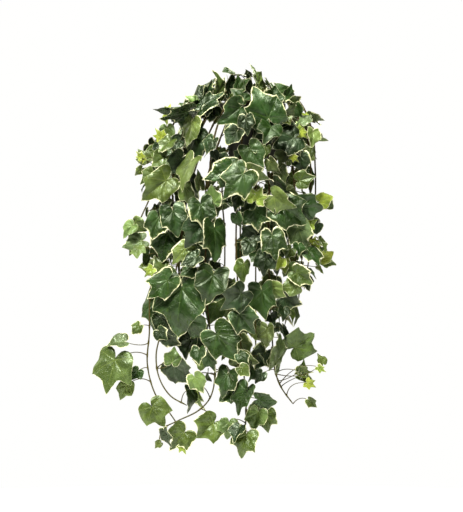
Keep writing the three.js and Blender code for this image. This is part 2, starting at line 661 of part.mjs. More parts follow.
// Pot: an open tapered cup with a rolled rim and drain holes round its base
function potSolid() {
  let pot = lathe([
    [0, -POT_DEPTH],
    [POT_BASE_RADIUS, -POT_DEPTH],
    [POT_TOP_RADIUS, 0],
    [RIM_RADIUS, 0],
    [RIM_RADIUS, RIM_HEIGHT],
    [RIM_RADIUS - RIM_LIP, RIM_HEIGHT],
    [POT_TOP_RADIUS - WALL, 0],
    [POT_BASE_RADIUS - WALL, WALL - POT_DEPTH],
    [0, WALL - POT_DEPTH],
  ], POT_SIDES);
  for (let i = 0; i < DRAIN_HOLES; i++) {
    const angle = 2 * Math.PI * (i + 0.5) / DRAIN_HOLES;
    const x = DRAIN_RING * Math.cos(angle);
    const y = DRAIN_RING * Math.sin(angle);
    pot = pot.subtract(post(DRAIN_RADIUS, -POT_DEPTH - CUT_MARGIN, 2 * WALL - POT_DEPTH, HOLE_SIDES, x, y));
  }
  return pot;
}

// The radius of the pot's inner wall at a height
function wallRadiusAt(height) {
  const share = (height + POT_DEPTH - WALL) / (POT_DEPTH - WALL);
  return THREE.MathUtils.lerp(POT_BASE_RADIUS, POT_TOP_RADIUS, share) - WALL;
}

// Soil: a plug that fills the pot, with a plain hole for each stem
function soilSolid(stems) {
  const bottom = WALL - POT_DEPTH + SOIL_GAP;
  let soil = lathe([
    [0, bottom],
    [wallRadiusAt(bottom) - SOIL_GAP, bottom],
    [wallRadiusAt(SOIL_TOP) - SOIL_GAP, SOIL_TOP],
    [0, SOIL_TOP + SOIL_CROWN],
  ], POT_SIDES);
  for (const { hole: [x, y] } of stems) {
    soil = soil.subtract(post(HOLE_RADIUS, FOOT_BOTTOM - HOLE_FLOOR, CUT_MARGIN, HOLE_SIDES, x, y));
  }
  return soil;
}

// A stem's route from its hole in the soil; only the stems of the crown don't cross the rim
function stemPath({ name, hole: [x, y], route }) {
  const start = new THREE.Vector3(x, y, STEM_START);
  const crest = start.clone().setZ(0).setLength(CREST_RADIUS).setZ(CREST_HEIGHT);
  const points = name.startsWith('crown') ? [start, ...route] : [start, crest, ...route];
  return new THREE.CatmullRomCurve3(points, false, 'centripetal');
}

function stemSteps(path) {
  return Math.round(path.getLength() / STEM_STEP);
}

function stemSolid({ hole: [x, y], path }) {
  const section = new THREE.Shape();
  for (let i = 0; i < STEM_SIDES; i++) {
    const angle = 2 * Math.PI * i / STEM_SIDES;
    const corner = [STEM_RADIUS * Math.cos(angle), STEM_RADIUS * Math.sin(angle)];
    if (i === 0) section.moveTo(...corner);
    else section.lineTo(...corner);
  }
  section.closePath();
  const sweep = { extrudePath: path, steps: stemSteps(path), bevelEnabled: false };
  const tube = new THREE.ExtrudeGeometry(section, sweep);
  const foot = post(FOOT_RADIUS, FOOT_BOTTOM, FOOT_TOP, STEM_SIDES, x, y);
  return geometryToSolid(tube).add(foot);
}

function stemFacets({ hole: [x, y], path }) {
  const points = path.getSpacedPoints(stemSteps(path));
  const rods = points.slice(1).map((point, i) => facet(points[i], point, point, STEM_RADIUS));
  const [bottom, top] = [new THREE.Vector3(x, y, FOOT_BOTTOM), new THREE.Vector3(x, y, FOOT_TOP)];
  return [...rods, facet(bottom, top, top, FOOT_RADIUS)];
}

// Stems at the back follow one rule: over the rim at their own angle, out to the plant's girth, then down
function backStems() {
  return BACK_DROPS.map((drop, i) => {
    const share = (i + 0.5) / BACK_DROPS.length;
    const angle = Math.PI * THREE.MathUtils.lerp(BACK_ARC[0], BACK_ARC[1], share);
    const out = new THREE.Vector3(Math.cos(angle), Math.sin(angle), 0);
    const girth = new THREE.Vector3(GIRTH.centre + GIRTH.x * out.x, GIRTH.y * out.y, 0);
    const route = [
      out.clone().multiplyScalar(BACK_RISE.ring).setZ(BACK_RISE.height),
      out.clone().multiplyScalar(BACK_FALL.ring).lerp(girth, 0.5).setZ(BACK_FALL.height),
      girth.clone().setZ(GIRTH.height),
    ];
    for (let depth = SWAY_FROM; depth < drop; depth += SWAY_STEP) {
      route.push(girth.clone().multiplyScalar(draw(GIRTH_SWAY)).setZ(-depth));
    }
    return { name: `back_${i + 1}`, hole: [BACK_HOLE_RING * out.x, BACK_HOLE_RING * out.y], route };
  });
}

// The stem that passes nearest to a place, by a measure of distance
function nearestStem(stems, measure) {
  let best = { distance: Infinity };
  for (const stem of stems) {
    for (const point of stem.samples) {
      const distance = measure(point);
      if (distance < best.distance) best = { distance, point, stem };
    }
  }
  return best;
}

// The nearest place on a stem for a stalk to root
function stalkRoot(stem, junction) {
  const feet = stem.rods.map(({ points: [start, end] }) => (
    new THREE.Line3(start, end).closestPointToPoint(junction, true, new THREE.Vector3())
  ));
  return feet.reduce((best, p) => (p.distanceTo(junction) < best.distanceTo(junction) ? p : best));
}

function lobesFor(length) {
  return length < FIVE_LOBES_FROM ? THREE_LOBES : FIVE_LOBES;
}

// Adds a leaf as it is seen from the front, at the free depth nearest to the one that its stalk reaches
function addFrontLeaf(stems, { stalk, tip, turn, lean }) {
  const seen = place(stalk[0], stalk[1], 0);
  const flat = place(tip[0], tip[1], 0).sub(seen);
  const leaning = THREE.MathUtils.degToRad(lean);
  const direction = flat.clone().normalize().multiplyScalar(Math.cos(leaning)).setY(-Math.sin(leaning));
  const fullLength = flat.length() / Math.cos(leaning);
  const lobes = lobesFor(fullLength);
  const { point, stem, distance } = nearestStem(stems, (p) => Math.hypot(p.x - seen.x, p.z - seen.z));
  const reach = Math.max(STALK_SHORT, distance * STALK_LONGER);
  const front = point.y - Math.sqrt(reach * reach - distance * distance);
  const bend = drawBend(FRONT_BEND);
  const axes = frameOf(direction, TO_VIEWER, turn);
  for (const size of FRONT_SIZES) {
    for (let step = 0; step < DEPTH_STEPS; step++) {
      const away = step % 3 ? Math.ceil(step * 2 / 3) : -step / 3;
      const junction = seen.clone().setY(front + away * DEPTH_STEP);
      const pose = { junction, ...axes, length: fullLength * size, lobes, ...bend };
      if (tryLeaf(pose, stalkRoot(stem, junction), stem)) return true;
    }
  }
  return false;
}

// True where every point of a blade falls inside the plant's outline and outside the openings through it
function keepsOutline(points) {
  for (const point of points) {
    const x = AXIS_X + point.x / PIXEL;
    const y = RIM_Y - point.z / PIXEL;
    for (const [left, top, right, bottom] of OPENINGS) {
      if (x > left && x < right && y > top && y < bottom) return false;
    }
    let inside = false;
    for (let i = 0, j = OUTLINE.length - 1; i < OUTLINE.length; j = i++) {
      const [ax, ay] = OUTLINE[i];
      const [bx, by] = OUTLINE[j];
      if ((ay > y) !== (by > y) && x < (bx - ax) * (y - ay) / (by - ay) + ax) inside = !inside;
    }
    if (!inside) return false;
  }
  return true;
}

// Adds a leaf at a share of the way along a stem: it stands off away from the plant's middle, faces outwards
// and hangs its tip, or lies flatter on top of the plant
function addRuleLeaf(stem, share, side, spacing) {
  const foot = stem.path.getPointAt(share);
  const rule = foot.z > 0 ? ON_TOP : HANGING;
  const middleX = MIDDLE_X * THREE.MathUtils.clamp(-foot.z / MIDDLE_FULL_DEPTH, 0, 1);
  const heading = new THREE.Vector3(foot.x - middleX, foot.y, 0).normalize();
  for (let attempt = 0; attempt < TRIES; attempt++) {
    const spread = THREE.MathUtils.degToRad(side * draw(RULE_TURN.spread));
    const outward = heading.clone().applyAxisAngle(UP, spread);
    const sideways = new THREE.Vector3().crossVectors(UP, outward);
    const rise = THREE.MathUtils.degToRad(draw(rule.rise));
    const reach = draw(RULE_SIZE.reach);
    const junction = foot.clone()
      .addScaledVector(outward, reach * Math.cos(rise))
      .addScaledVector(UP, reach * Math.sin(rise));
    const direction = outward.clone().multiplyScalar(draw(rule.out))
      .addScaledVector(sideways, draw(RULE_TURN.sideways))
      .addScaledVector(UP, draw(rule.up));
    const towards = outward.clone().addScaledVector(UP, draw(rule.facing));
    const axes = frameOf(direction, towards, draw(RULE_TURN.roll));
    const size = attempt < TRIES / 2 ? 1 : SMALLER;
    const length = draw(RULE_SIZE.length) * (1 - TIP_TAPER * share) * size;
    const pose = { junction, ...axes, length, lobes: lobesFor(length), ...drawBend(RULE_BEND) };
    const middle = bladeMiddle(pose);
    if (middles.some((other) => other.distanceTo(middle) < spacing)) continue;
    if (!keepsOutline(bladePoints(pose))) continue;
    if (tryLeaf(pose, stalkRoot(stem, junction), stem)) return true;
  }
  return false;
}

// Stems, pot and soil
const frontStems = FRONT_STEMS.map(({ name, hole, route }) => {
  return { name, hole, route: route.map(([x, y, depth]) => place(x, y, depth)) };
});
const stems = [...frontStems, ...backStems()];
for (const stem of stems) {
  stem.path = stemPath(stem);
  stem.rods = stemFacets(stem);
  stem.samples = stem.path.getSpacedPoints(STEM_SAMPLES).slice(BARE_SAMPLES);
  stem.leaves = [];
  take(stem.rods, stem, true);
}
const pot = potSolid();
const soil = soilSolid(stems);
take(surfaceFacets(pot), null, true);

// Leaves: those seen from the front, then the others by rule, first far apart and then closer; the plant's
// sides, where few stems hang, come first
let leafCount = 0;
for (const leaf of FRONT_LEAVES) {
  if (addFrontLeaf(frontStems, leaf)) leafCount += 1;
}
const sites = [];
for (const stem of stems) {
  const length = stem.path.getLength();
  for (let at = SITE_FIRST; at < length; at += SITE_STEP) {
    const atSide = Math.abs(stem.path.getPointAt(at / length).y) < SIDE_DEPTH;
    sites.push({ stem, share: at / length, atSide, order: random() + (atSide ? 0 : 1) });
  }
}
sites.sort((a, b) => a.order - b.order);
for (const spacing of SPACINGS) {
  sites.forEach(({ stem, share, atSide }, index) => {
    const side = index % 2 ? 1 : -1;
    const apart = atSide ? SIDE_CLOSER * spacing : spacing;
    if (leafCount < LEAF_LIMIT && addRuleLeaf(stem, share, side, apart)) leafCount += 1;
  });
}

const plant = new THREE.Group();
plant.name = 'potted_ivy';
plant.add(solidToMesh(pot, 'pot', potMaterial));
plant.add(solidToMesh(soil, 'soil', soilMaterial));
for (const stem of stems) {
  const solid = oneBody(wasm.Manifold.union([stemSolid(stem), ...stem.leaves]));
  plant.add(solidToMesh(solid, `vine_${stem.name}`, leafMaterial));
}

export default plant;
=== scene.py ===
"""The looks of the potted variegated ivy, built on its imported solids.

Metres, +Z up, -Y towards the viewer of the front. Shapes are worked out in millimetres and scaled by MM.
"""
import math
import random

import bpy
import numpy as np
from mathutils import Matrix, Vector

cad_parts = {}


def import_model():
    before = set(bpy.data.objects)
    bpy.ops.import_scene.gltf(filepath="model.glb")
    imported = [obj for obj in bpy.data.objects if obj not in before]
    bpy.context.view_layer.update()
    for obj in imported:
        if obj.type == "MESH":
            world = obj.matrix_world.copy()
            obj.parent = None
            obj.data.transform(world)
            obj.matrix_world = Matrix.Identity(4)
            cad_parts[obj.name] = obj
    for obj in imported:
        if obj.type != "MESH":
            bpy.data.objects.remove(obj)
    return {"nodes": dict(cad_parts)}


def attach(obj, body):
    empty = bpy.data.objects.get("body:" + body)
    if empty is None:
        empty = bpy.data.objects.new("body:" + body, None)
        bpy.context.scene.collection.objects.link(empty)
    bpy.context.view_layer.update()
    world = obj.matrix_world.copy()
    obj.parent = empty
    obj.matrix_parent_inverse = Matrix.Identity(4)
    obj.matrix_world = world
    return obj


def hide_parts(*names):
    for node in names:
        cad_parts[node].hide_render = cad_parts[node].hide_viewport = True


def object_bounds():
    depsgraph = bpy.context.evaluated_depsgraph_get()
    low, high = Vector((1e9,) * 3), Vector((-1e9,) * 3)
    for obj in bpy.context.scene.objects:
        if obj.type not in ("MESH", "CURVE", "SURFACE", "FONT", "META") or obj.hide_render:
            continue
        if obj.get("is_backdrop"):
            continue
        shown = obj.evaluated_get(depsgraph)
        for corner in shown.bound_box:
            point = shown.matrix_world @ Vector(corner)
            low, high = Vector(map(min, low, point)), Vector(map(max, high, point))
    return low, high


MM = 0.001

# The front view: metres to one of its pixels, and the pixels of the pot's axis, the rim and the middle
PIXEL = 1.8 * MM
AXIS_X = 253
RIM_Y = 107
MIDDLE_X = 231.5
MIDDLE_Y = 256
LONG_SIDE = 512

# Pot and soil, in millimetres, with counts of sides, rings and waves
POT_SIDES = 96
RIM_RADIUS = 60
RIM_HEIGHT = 10
RIM_LIP = 5
POT_TOP_RADIUS = 54
POT_BASE_RADIUS = 42
POT_DEPTH = 90
WALL = 2.4
DRAIN_HOLES = 4
DRAIN_RING = 26
DRAIN_RADIUS = 4
DRAIN_SIDES = 24
SOIL_TOP = -3
SOIL_CROWN = 3
SOIL_GAP = 0.3
SOIL_RINGS = 18
SOIL_SPOKES = 72
SOIL_WAVES = 14
SOIL_PITCH = (0.05, 0.35)
SOIL_ROUGHNESS = 0.22
SOIL_EDGE = 4
SOIL_SUNK = 0.5

# Crumbs on the soil: how many, the largest radius and the room left to the wall in millimetres, then ends of
# the shares drawn for each: the root of its size, the reach of its corners and how high it lies
CRUMBS = 420
CRUMB_SIZE = 2.4
CRUMB_FROM_WALL = 0.5
CRUMB_SIZES = (0.5, 1.0)
CRUMB_CORNERS = (0.6, 1.1)
CRUMB_HEIGHT = (-0.2, 0.4)

# Stems and stalks, in millimetres, with counts and shares. The ripple of a stem is a share of its radius, and
# its turns are in radians over the stem's length
STEM_START = 2
FOOT_BOTTOM = -27
CREST_RADIUS = 58
CREST_HEIGHT = 30
STEM_THICK = 1.9
STEM_THIN = 1.2
STEM_SIDES = 10
STEM_STEP = 6
STEM_FOOT_STEPS = 8
STEM_RIPPLE = 0.04
STEM_RIPPLES = 60
STEM_TIP = 0.4
FOOT_POINTS = 4
FOOT_GAP = 4
KNOT_HEIGHT = 0.45
KNOT_REACH = 4
STALK_ROOT_RADIUS = 0.95
STALK_LEAF_RADIUS = 0.7
STALK_FLARE = 1.3
STALK_WIDTHS_AT = (0, 0.15, 0.85, 1)
STALK_SIDES = 6
STALK_STEPS = 12
STALK_BEND = {"share": 0.4, "back": 0.26, "under": 0.2, "from": 8, "to": 60}
STALK_PULL = 0.6
STALK_UNDER_BLADE = 0.6
STALK_THIN = 0.55
STALK_FULL_FROM = 60

# How green stems and stalks are, from 0 for wood to 1: the share of a stem where green sets in, its least
# and what is added towards the tip, then how much a stalk loses towards its stem and how it varies
STEM_GREEN_FROM = 0.35
STEM_GREEN_LEAST = 0.05
STEM_GREEN_MORE = 0.8
STALK_GREEN_LOSS = 0.55
STALK_GREEN_VARY = (-0.2, 0.1)

# The rule of the stems at the back, in millimetres and shares: the arc in half turns over which they leave
# the pot, the ring of their holes, their rise and fall as distance from the axis and height, the girth that
# they hang along, how they sway about it from which depth on, and how far each hangs down
BACK_ARC = (0.05, 0.95)
BACK_HOLE_RING = 36
BACK_RISE = (84, 8)
BACK_FALL = (98, -60)
GIRTH_CENTRE = -40
GIRTH_X = 112
GIRTH_Y = 84
GIRTH_HEIGHT = -140
GIRTH_SWAY = (0.9, 1.02)
SWAY_FROM = 220
SWAY_STEP = 80
BACK_DROPS = (330, 300, 420, 520, 480, 540, 460, 400, 430, 370)
SEED = 20

# Stems at the front and sides: the hole in the soil in millimetres from the pot's axis, then the route as x
# and y in the front view and the depth behind the axis in millimetres
FRONT_STEMS = {
    "shoulder_left": ((-36, 4), (
        (203, 92, -4), (182, 107, -12), (168, 135, -18), (160, 165, -22), (150, 195, -22),
        (137, 225, -18), (131, 250, -15),
    )),
    "long_left": ((-34, -11), (
        (205, 96, -44), (186, 124, -56), (176, 160, -52), (168, 205, -60), (158, 250, -55),
        (150, 290, -50), (149, 333, -48), (147, 365, -46), (155, 395, -44), (168, 412, -42),
        (181, 431, -40),
    )),
    "inner_left": ((-27, -22), (
        (214, 103, -57), (198, 135, -71), (190, 175, -76), (184, 220, -76), (177, 265, -71),
        (168, 300, -66), (161, 332, -60), (156, 355, -59), (159, 378, -57), (170, 396, -55),
        (187, 406, -54),
    )),
    "front_left": ((-17, -31), (
        (227, 103, -72), (215, 135, -89), (209, 180, -92), (207, 230, -89), (205, 280, -84),
        (210, 330, -77), (215, 375, -71), (210, 398, -67), (198, 411, -64), (178, 421, -59),
        (162, 430, -55), (159, 441, -54),
    )),
    "front_middle": ((-5, -36), (
        (248, 104, -77), (242, 140, -96), (238, 190, -101), (236, 240, -97), (238, 290, -92),
        (240, 335, -86), (244, 375, -81), (246, 410, -77), (245, 432, -76),
    )),
    "front_right": ((8, -34), (
        (264, 104, -74), (268, 145, -89), (269, 195, -92), (268, 245, -89), (270, 295, -82),
        (272, 335, -77), (275, 370, -72), (281, 387, -69), (293, 404, -66),
    )),
    "inner_right": ((20, -28), (
        (281, 104, -60), (290, 145, -72), (295, 195, -76), (296, 245, -72), (292, 290, -67),
        (285, 325, -62),
    )),
    "outer_right": ((30, -17), (
        (296, 104, -42), (308, 140, -48), (311, 185, -48), (306, 230, -46), (302, 262, -44),
        (299, 300, -40),
    )),
    "shoulder_right": ((34, -2), (
        (301, 101, -8), (313, 130, -13), (316, 165, -15), (316, 205, -10), (312, 245, -4),
        (305, 290, 2),
    )),
    "crown_left": ((-12, -12), (
        (240, 92, -14), (226, 82, -18), (213, 84, -22),
    )),
    "crown_middle": ((0, 2), (
        (252, 90, 2), (248, 79, 2),
    )),
    "crown_right": ((12, -10), (
        (261, 92, -12), (269, 86, -16), (282, 92, -18),
    )),
}

# Half outlines of a blade whose tip is at a distance of 1 from its stalk: angle from the tip in degrees and
# distance, in runs that meet at a point: from the tip to the side lobe, and on to the notch at the stalk
FIVE_LOBES = (
    ((0, 1.0), (4, 0.92), (11, 0.80), (24, 0.645), (37, 0.70), (48, 0.865)),
    ((48, 0.865), (60, 0.73), (80, 0.60), (100, 0.585), (117, 0.57), (140, 0.46), (160, 0.30), (178, 0.07)),
)
THREE_LOBES = (
    ((0, 1.0), (5, 0.91), (13, 0.78), (27, 0.665), (41, 0.69), (54, 0.79)),
    ((54, 0.79), (67, 0.70), (90, 0.57), (114, 0.50), (138, 0.39), (160, 0.24), (178, 0.06)),
)
STAR_LOBES = (
    ((0, 1.0), (5, 0.87), (14, 0.66), (27, 0.53), (40, 0.66), (51, 0.84)),
    ((51, 0.84), (61, 0.64), (76, 0.50), (92, 0.56), (106, 0.66), (118, 0.52), (140, 0.38), (160, 0.24),
     (178, 0.06)),
)
RUN_STEPS = (11, 13)
OUTLINE_STEP = 0.01

# Angles of the veins from the tip in degrees: of those between the puffed fields of each kind of blade, and
# of those drawn on all of them
VEIN_ANGLES = {"five": (0, 47, 112), "three": (0, 52, 104), "star": (0, 51, 106)}
MAIN_VEINS = (0, 48, 108)

# How the outlines of blades differ, as shares of their length: swells as angle from the tip, width in
# degrees, and least and most swelling there, then ripples and teeth as count and height, with the angles in
# radians between which ripples set in, and how heart-shaped and how slim they are
SWELLS = (
    (0, 9, -0.05, 0.03), (28, 12, -0.05, 0.09), (48, 10, -0.08, 0.05), (82, 18, -0.07, 0.08),
    (125, 22, -0.08, 0.09),
)
RIPPLE_COUNT = 9
RIPPLE = 0.012
RIPPLE_FADE = (0, 0.5)
TOOTH_COUNT = 17
TOOTH = (0.004, 0.022)
PLAIN_SHARE = (-0.1, 0.55)
SLIMNESS = (0.72, 0.98)

# The outline of a heart-shaped blade: by how much its reach falls between two angles from the tip in radians
HEART_FALLS = ((0.29, 0, 0.6), (0.09, 0.8, 1.8), (0.56, 1.9, 3.12))

# How blades differ across their face, as shares of their length: the fold along the midrib, puffed fields
# between the veins, waves of the edge as count and part, and the curl of the sides and the tip, with the
# places where it starts and where it is full
MORE_FOLD = (0.0, 0.22)
FOLD_ROUNDING = 0.0012
FOLD_SUNK = 0.034
PUFF = (0.04, 0.09)
PUFF_ANGLE = 0.34
WAVE = (0.012, 0.05)
WAVES = ((3, 1.0), (5, 0.8), (9, 0.35))
SIDE_CURL = (-0.28, 0.14)
SIDE_CURL_PLACES = (0.2, 0.9)
TIP_CURL = (-0.06, 0.22)
TIP_CURL_PLACES = (0.45, 1.0)

# Blades that the solids leave out: ends of the bends drawn for each, and the length in millimetres from
# which they have five lobes
BEND = {"fold": (-0.05, 0.3), "droop": (0, 0.18), "twist": (-0.15, 0.15)}
FIVE_LOBES_FROM = 35

# Widths that a cream margin is drawn from, in millimetres, and the blade's length from which it is full
MARGINS = (0.12, 0.3, 0.48, 0.7, 1.0, 1.35)
MARGIN_FULL_FROM = 38

# Shares of the way from the stalk to the edge at which a blade has a ring of corners
RINGS = (0.0, 0.15, 0.31, 0.46, 0.6, 0.73, 0.84, 0.93, 1.0)

# Puckers across a blade: the distance from one to the next and their height, and the blade's length from
# which they are full, in millimetres, then how far and how often their rows swing, and the shares of the
# way to the edge between which they set in
PUCKERS = ((21, 0.85), (13, 0.5))
PUCKERS_FULL_FROM = 50
PUCKER_SWING = 1.7
PUCKER_SWINGS = 0.6
PUCKER_FADE = (0.08, 0.4)

# Half the thickness of a blade at its middle, and how far it stays inside the solids' box, in millimetres
HALF_THICKNESS = 0.28
BOX_INSET = 0.6

# Colours of the blades by the name of their tone, linear red, green and blue, and how far each varies
TONES = {
    "dark": (0.006, 0.016, 0.0025),
    "mid": (0.014, 0.037, 0.005),
    "light": (0.115, 0.175, 0.046),
    "olive": (0.062, 0.092, 0.015),
    "young": (0.270, 0.350, 0.045),
    "grey": (0.075, 0.105, 0.036),
}
TONE_VARY = (0.82, 1.18)
TONE_WARM = (0.9, 1.1)

# Blades whose upper face points less far back than this are seen from the front
FACES_FRONT = 0.2

# Light blades shorter than this in millimetres may be young ones, and those longer than the next are dimmer
YOUNG_UNDER = 26
YOUNG_CHANCE = 0.3
DIMMER_FROM = 45
DIMMER = 0.75

# Tones drawn from: of blades that fill the front, and of all that the front view doesn't show
FRONT_FILL_TONES = ("dark", "dark", "mid", "olive")
RULE_TONES = ("dark",) * 9 + ("mid",) * 9 + ("olive",) * 4 + ("light",) * 4 + ("grey",) * 3

# The tone of each blade seen from the front, by the pixel of its stalk's end, and how many pixels off that
# may lie
SEEN_TONES = {
    "dark": (
        (213, 107), (203, 108), (203, 98), (226, 93), (189, 106), (188, 111), (166, 142), (194, 136),
        (213, 141), (237, 133), (182, 158), (188, 180), (224, 166), (160, 216), (200, 225), (197, 257),
        (250, 200), (256, 234), (241, 293), (161, 318), (189, 315), (165, 334), (172, 364), (196, 342),
        (190, 340), (275, 183), (284, 298), (265, 353), (191, 282), (294, 139), (266, 123),
    ),
    "mid": (
        (301, 207), (282, 208), (268, 119), (240, 109), (233, 94), (249, 97), (276, 90), (232, 171),
        (250, 150), (248, 155), (243, 175), (255, 211), (263, 247), (272, 236), (173, 211), (158, 219),
        (167, 233), (201, 205), (210, 229), (214, 229), (168, 280), (183, 289), (213, 275), (262, 292),
        (217, 334), (192, 319), (240, 314), (206, 353), (228, 375), (232, 391), (248, 388), (258, 398),
    ),
    "light": (
        (324, 258), (325, 260), (219, 90), (258, 84), (198, 100), (188, 107), (167, 127), (193, 124),
        (165, 156), (193, 163), (214, 203), (274, 197), (284, 261), (296, 286), (271, 288), (186, 248),
        (168, 270), (115, 360), (127, 385), (172, 362), (195, 377), (197, 390), (229, 422), (258, 414),
        (217, 303), (238, 299), (313, 132), (304, 151), (153, 304), (205, 355),
    ),
    "olive": (
        (145, 159), (153, 150), (168, 172), (180, 192), (186, 188), (299, 181), (309, 225), (153, 266),
        (285, 310), (295, 348), (152, 407), (184, 433), (213, 423), (246, 434), (267, 413), (296, 273),
        (244, 264), (163, 270), (299, 371), (300, 376), (273, 283), (166, 181), (240, 342), (237, 357),
    ),
    "young": (
        (299, 131), (313, 243), (321, 201), (328, 204), (256, 200), (307, 382), (161, 137), (167, 112),
        (152, 269),
    ),
    "grey": (
        (307, 119), (311, 114), (266, 93), (291, 129), (285, 150), (281, 169), (298, 228), (141, 241),
        (124, 341), (275, 361), (274, 350), (293, 306), (268, 329),
    ),
}
TONE_REACH = 4

# The other colours of a blade, linear: tints that its tone is multiplied by, and colours mixed in
MOTTLE_TINT = (0.50, 0.60, 0.50)
# Painted shade: the tint that darkens a blade in broad clouds
PAINTED_SHADE_TINT = (0.45, 0.50, 0.42)
# Painted sheen: the next tint, and a colour added to it below, make paler patches with a bluish cast
PAINTED_SHEEN_TINT = (1.5, 1.45, 1.5)
VEIN_TINT = (2.1, 1.9, 1.7)
PAINTED_SHEEN = (0.016, 0.030, 0.018)
VEIN = (0.10, 0.14, 0.045)
LOWER_GREEN = (0.075, 0.115, 0.030)
BAND_GREEN = (0.17, 0.22, 0.07)
CREAMS = ((0.88, 0.87, 0.68), (0.72, 0.74, 0.47))

# The darker and the paler colour of wood, green stems, the pot and the soil, then the soil's grit
WOODS = ((0.034, 0.022, 0.008), (0.080, 0.057, 0.021))
STEM_GREENS = ((0.052, 0.048, 0.010), (0.105, 0.100, 0.024))
PLASTICS = ((0.012, 0.013, 0.012), (0.040, 0.038, 0.032))
SOILS = ((0.018, 0.011, 0.007), (0.060, 0.038, 0.022))
GRIT = (0.16, 0.12, 0.075)
FLOOR_COLOUR = (0.86, 0.86, 0.84, 1)

# Blades that the front view shows at their full width and with all their lobes, by the pixel of their
# stalk's end
BROAD_LEAVES = (
    (115, 360), (152, 407), (184, 433), (213, 423), (229, 422), (246, 434), (267, 413), (295, 348),
    (262, 292),
)

# Leaves of the front that the solids leave out: x and y of the stalk and of the tip, turn in degrees, tone
SMALL_LEAVES = (
    (167, 112, 171, 102, 10, "young"), (308, 117, 301, 111, 20, "young"),
    (299, 131, 306, 124, 0, "young"), (299, 132, 292, 139, 10, "young"),
    (301, 132, 307, 139, 20, "young"), (198, 123, 201, 134, 30, "olive"),
    (161, 137, 155, 127, 10, "young"), (184, 120, 180, 129, 20, "mid"),
    (141, 168, 134, 175, 0, "olive"), (168, 200, 162, 208, 30, "olive"),
    (257, 200, 267, 194, 0, "young"), (266, 148, 263, 160, 30, "olive"),
    (292, 157, 299, 163, 0, "young"), (311, 200, 302, 194, 20, "grey"),
    (219, 206, 211, 212, 20, "olive"), (221, 206, 230, 207, 10, "olive"),
    (270, 209, 272, 222, 30, "dark"), (313, 243, 323, 240, 0, "young"),
    (315, 246, 323, 252, 10, "young"), (314, 248, 317, 259, 0, "young"),
    (291, 249, 285, 260, 10, "olive"), (281, 260, 276, 271, 20, "light"),
    (291, 266, 300, 266, 0, "light"), (152, 269, 144, 277, 10, "young"),
    (230, 288, 236, 278, 20, "olive"), (262, 373, 255, 383, 20, "dark"),
    (139, 326, 130, 335, 25, "olive"), (138, 371, 131, 381, 10, "mid"),
    (160, 443, 154, 448, 20, "olive"), (182, 446, 186, 455, 0, "young"),
    (254, 410, 261, 404, 10, "olive"), (307, 382, 316, 387, 0, "young"),
    (301, 371, 306, 359, 50, "olive"), (309, 400, 317, 408, 20, "olive"),
    (235, 99, 247, 93, 10, "olive"), (291, 129, 275, 127, 10, "mid"),
    (167, 127, 169, 143, 20, "light"), (179, 141, 165, 149, 20, "mid"),
    (153, 150, 145, 164, 10, "olive"), (256, 200, 263, 186, 0, "young"),
    (247, 199, 252, 186, 20, "young"), (222, 177, 225, 190, 30, "dark"),
    (286, 190, 298, 196, 20, "grey"), (291, 152, 306, 146, 30, "grey"),
    (304, 151, 316, 161, 10, "light"), (325, 200, 335, 209, 10, "olive"),
    (309, 225, 313, 211, 0, "young"), (284, 261, 285, 275, 10, "light"),
    (193, 268, 180, 276, 20, "mid"), (168, 270, 175, 283, 10, "light"),
    (134, 223, 146, 232, 20, "light"), (232, 290, 245, 298, 10, "mid"),
    (218, 92, 219, 66, 62, "light"), (186, 188, 191, 210, 40, "olive"),
    (237, 357, 259, 364, 25, "olive"), (207, 97, 212, 78, 50, "dark"), (229, 90, 232, 72, 55, "dark"),
    (239, 92, 238, 74, 45, "mid"), (247, 90, 251, 71, 60, "dark"), (261, 92, 262, 74, 50, "grey"),
    (271, 101, 277, 84, 15, "mid"), (287, 97, 293, 84, 40, "mid"), (292, 101, 303, 97, 30, "olive"),
    (297, 106, 302, 120, 35, "mid"), (257, 196, 249, 190, 10, "young"),
    (258, 197, 262, 205, 0, "young"), (300, 130, 296, 120, 0, "young"),
    (141, 157, 135, 150, 0, "young"), (143, 158, 137, 163, 10, "young"),
    (330, 245, 334, 236, 10, "young"), (322, 362, 318, 352, 40, "olive"),
    (318, 366, 326, 372, 30, "young"), (238, 197, 234, 213, 25, "dark"),
    (237, 216, 240, 229, 35, "mid"), (244, 100, 232, 88, 40, "mid"), (196, 104, 187, 92, 45, "light"),
)

# Their shortest stalk, a stalk's length beside the way to its stem seen from the front, the room and the
# inset that they need, how many depths are tried and how far apart, and how much nearer young ones stand
SMALL_STALK = 14
SMALL_LONGER = 1.08
SMALL_ROOM = 3.5
SMALL_INSET = 2
SMALL_DEPTHS = 40
SMALL_DEPTH_STEP = 2.5
YOUNG_NEARER = 15

# Leaves that fill the plant by rule: how many are tried and added, the share near the pot, and how far in
# front of the pot's axis only a share of them stays
FILL_TRIES = 3000
FILL_LEAVES = 230
FILL_POT_SHARE = 0.45
FILL_FRONT = -30
FILL_FRONT_SHARE = 0.35

# Their length and stalk, the room and the inset that they need in millimetres, and their turns in degrees
FILL_LENGTH = (16, 34)
FILL_REACH = (12, 34)
FILL_ROOM = 6.5
FILL_INSET = 3
FILL_SPREAD = 100
FILL_SIDEWAYS = 0.8
FILL_ROLL = 25
GIRTH_FULL_DEPTH = 120

# How they point on top of the plant and on its sides: rise of the stalk in degrees, and shares of the tip's
# way out and up, and of the upper face's way up
FILL_ON_TOP = {"rise": (0, 60), "out": (0.3, 1), "up": (-0.4, 0.5), "face_up": (0.8, 2.5)}
FILL_ON_SIDES = {"rise": (-35, 50), "out": (0.05, 0.7), "up": (-1, -0.4), "face_up": (0.1, 0.7)}

# How room is looked for: the places on a blade that stand for it, as angle from the tip in degrees and
# distance as a share of its length, and the size of a cell in millimetres
ROOM_PLACES = ((0, 0.2), (0, 0.6), (0, 1), (28, 0.55), (50, 0.78), (60, 0.4), (105, 0.5))
ROOM_CELL = 12

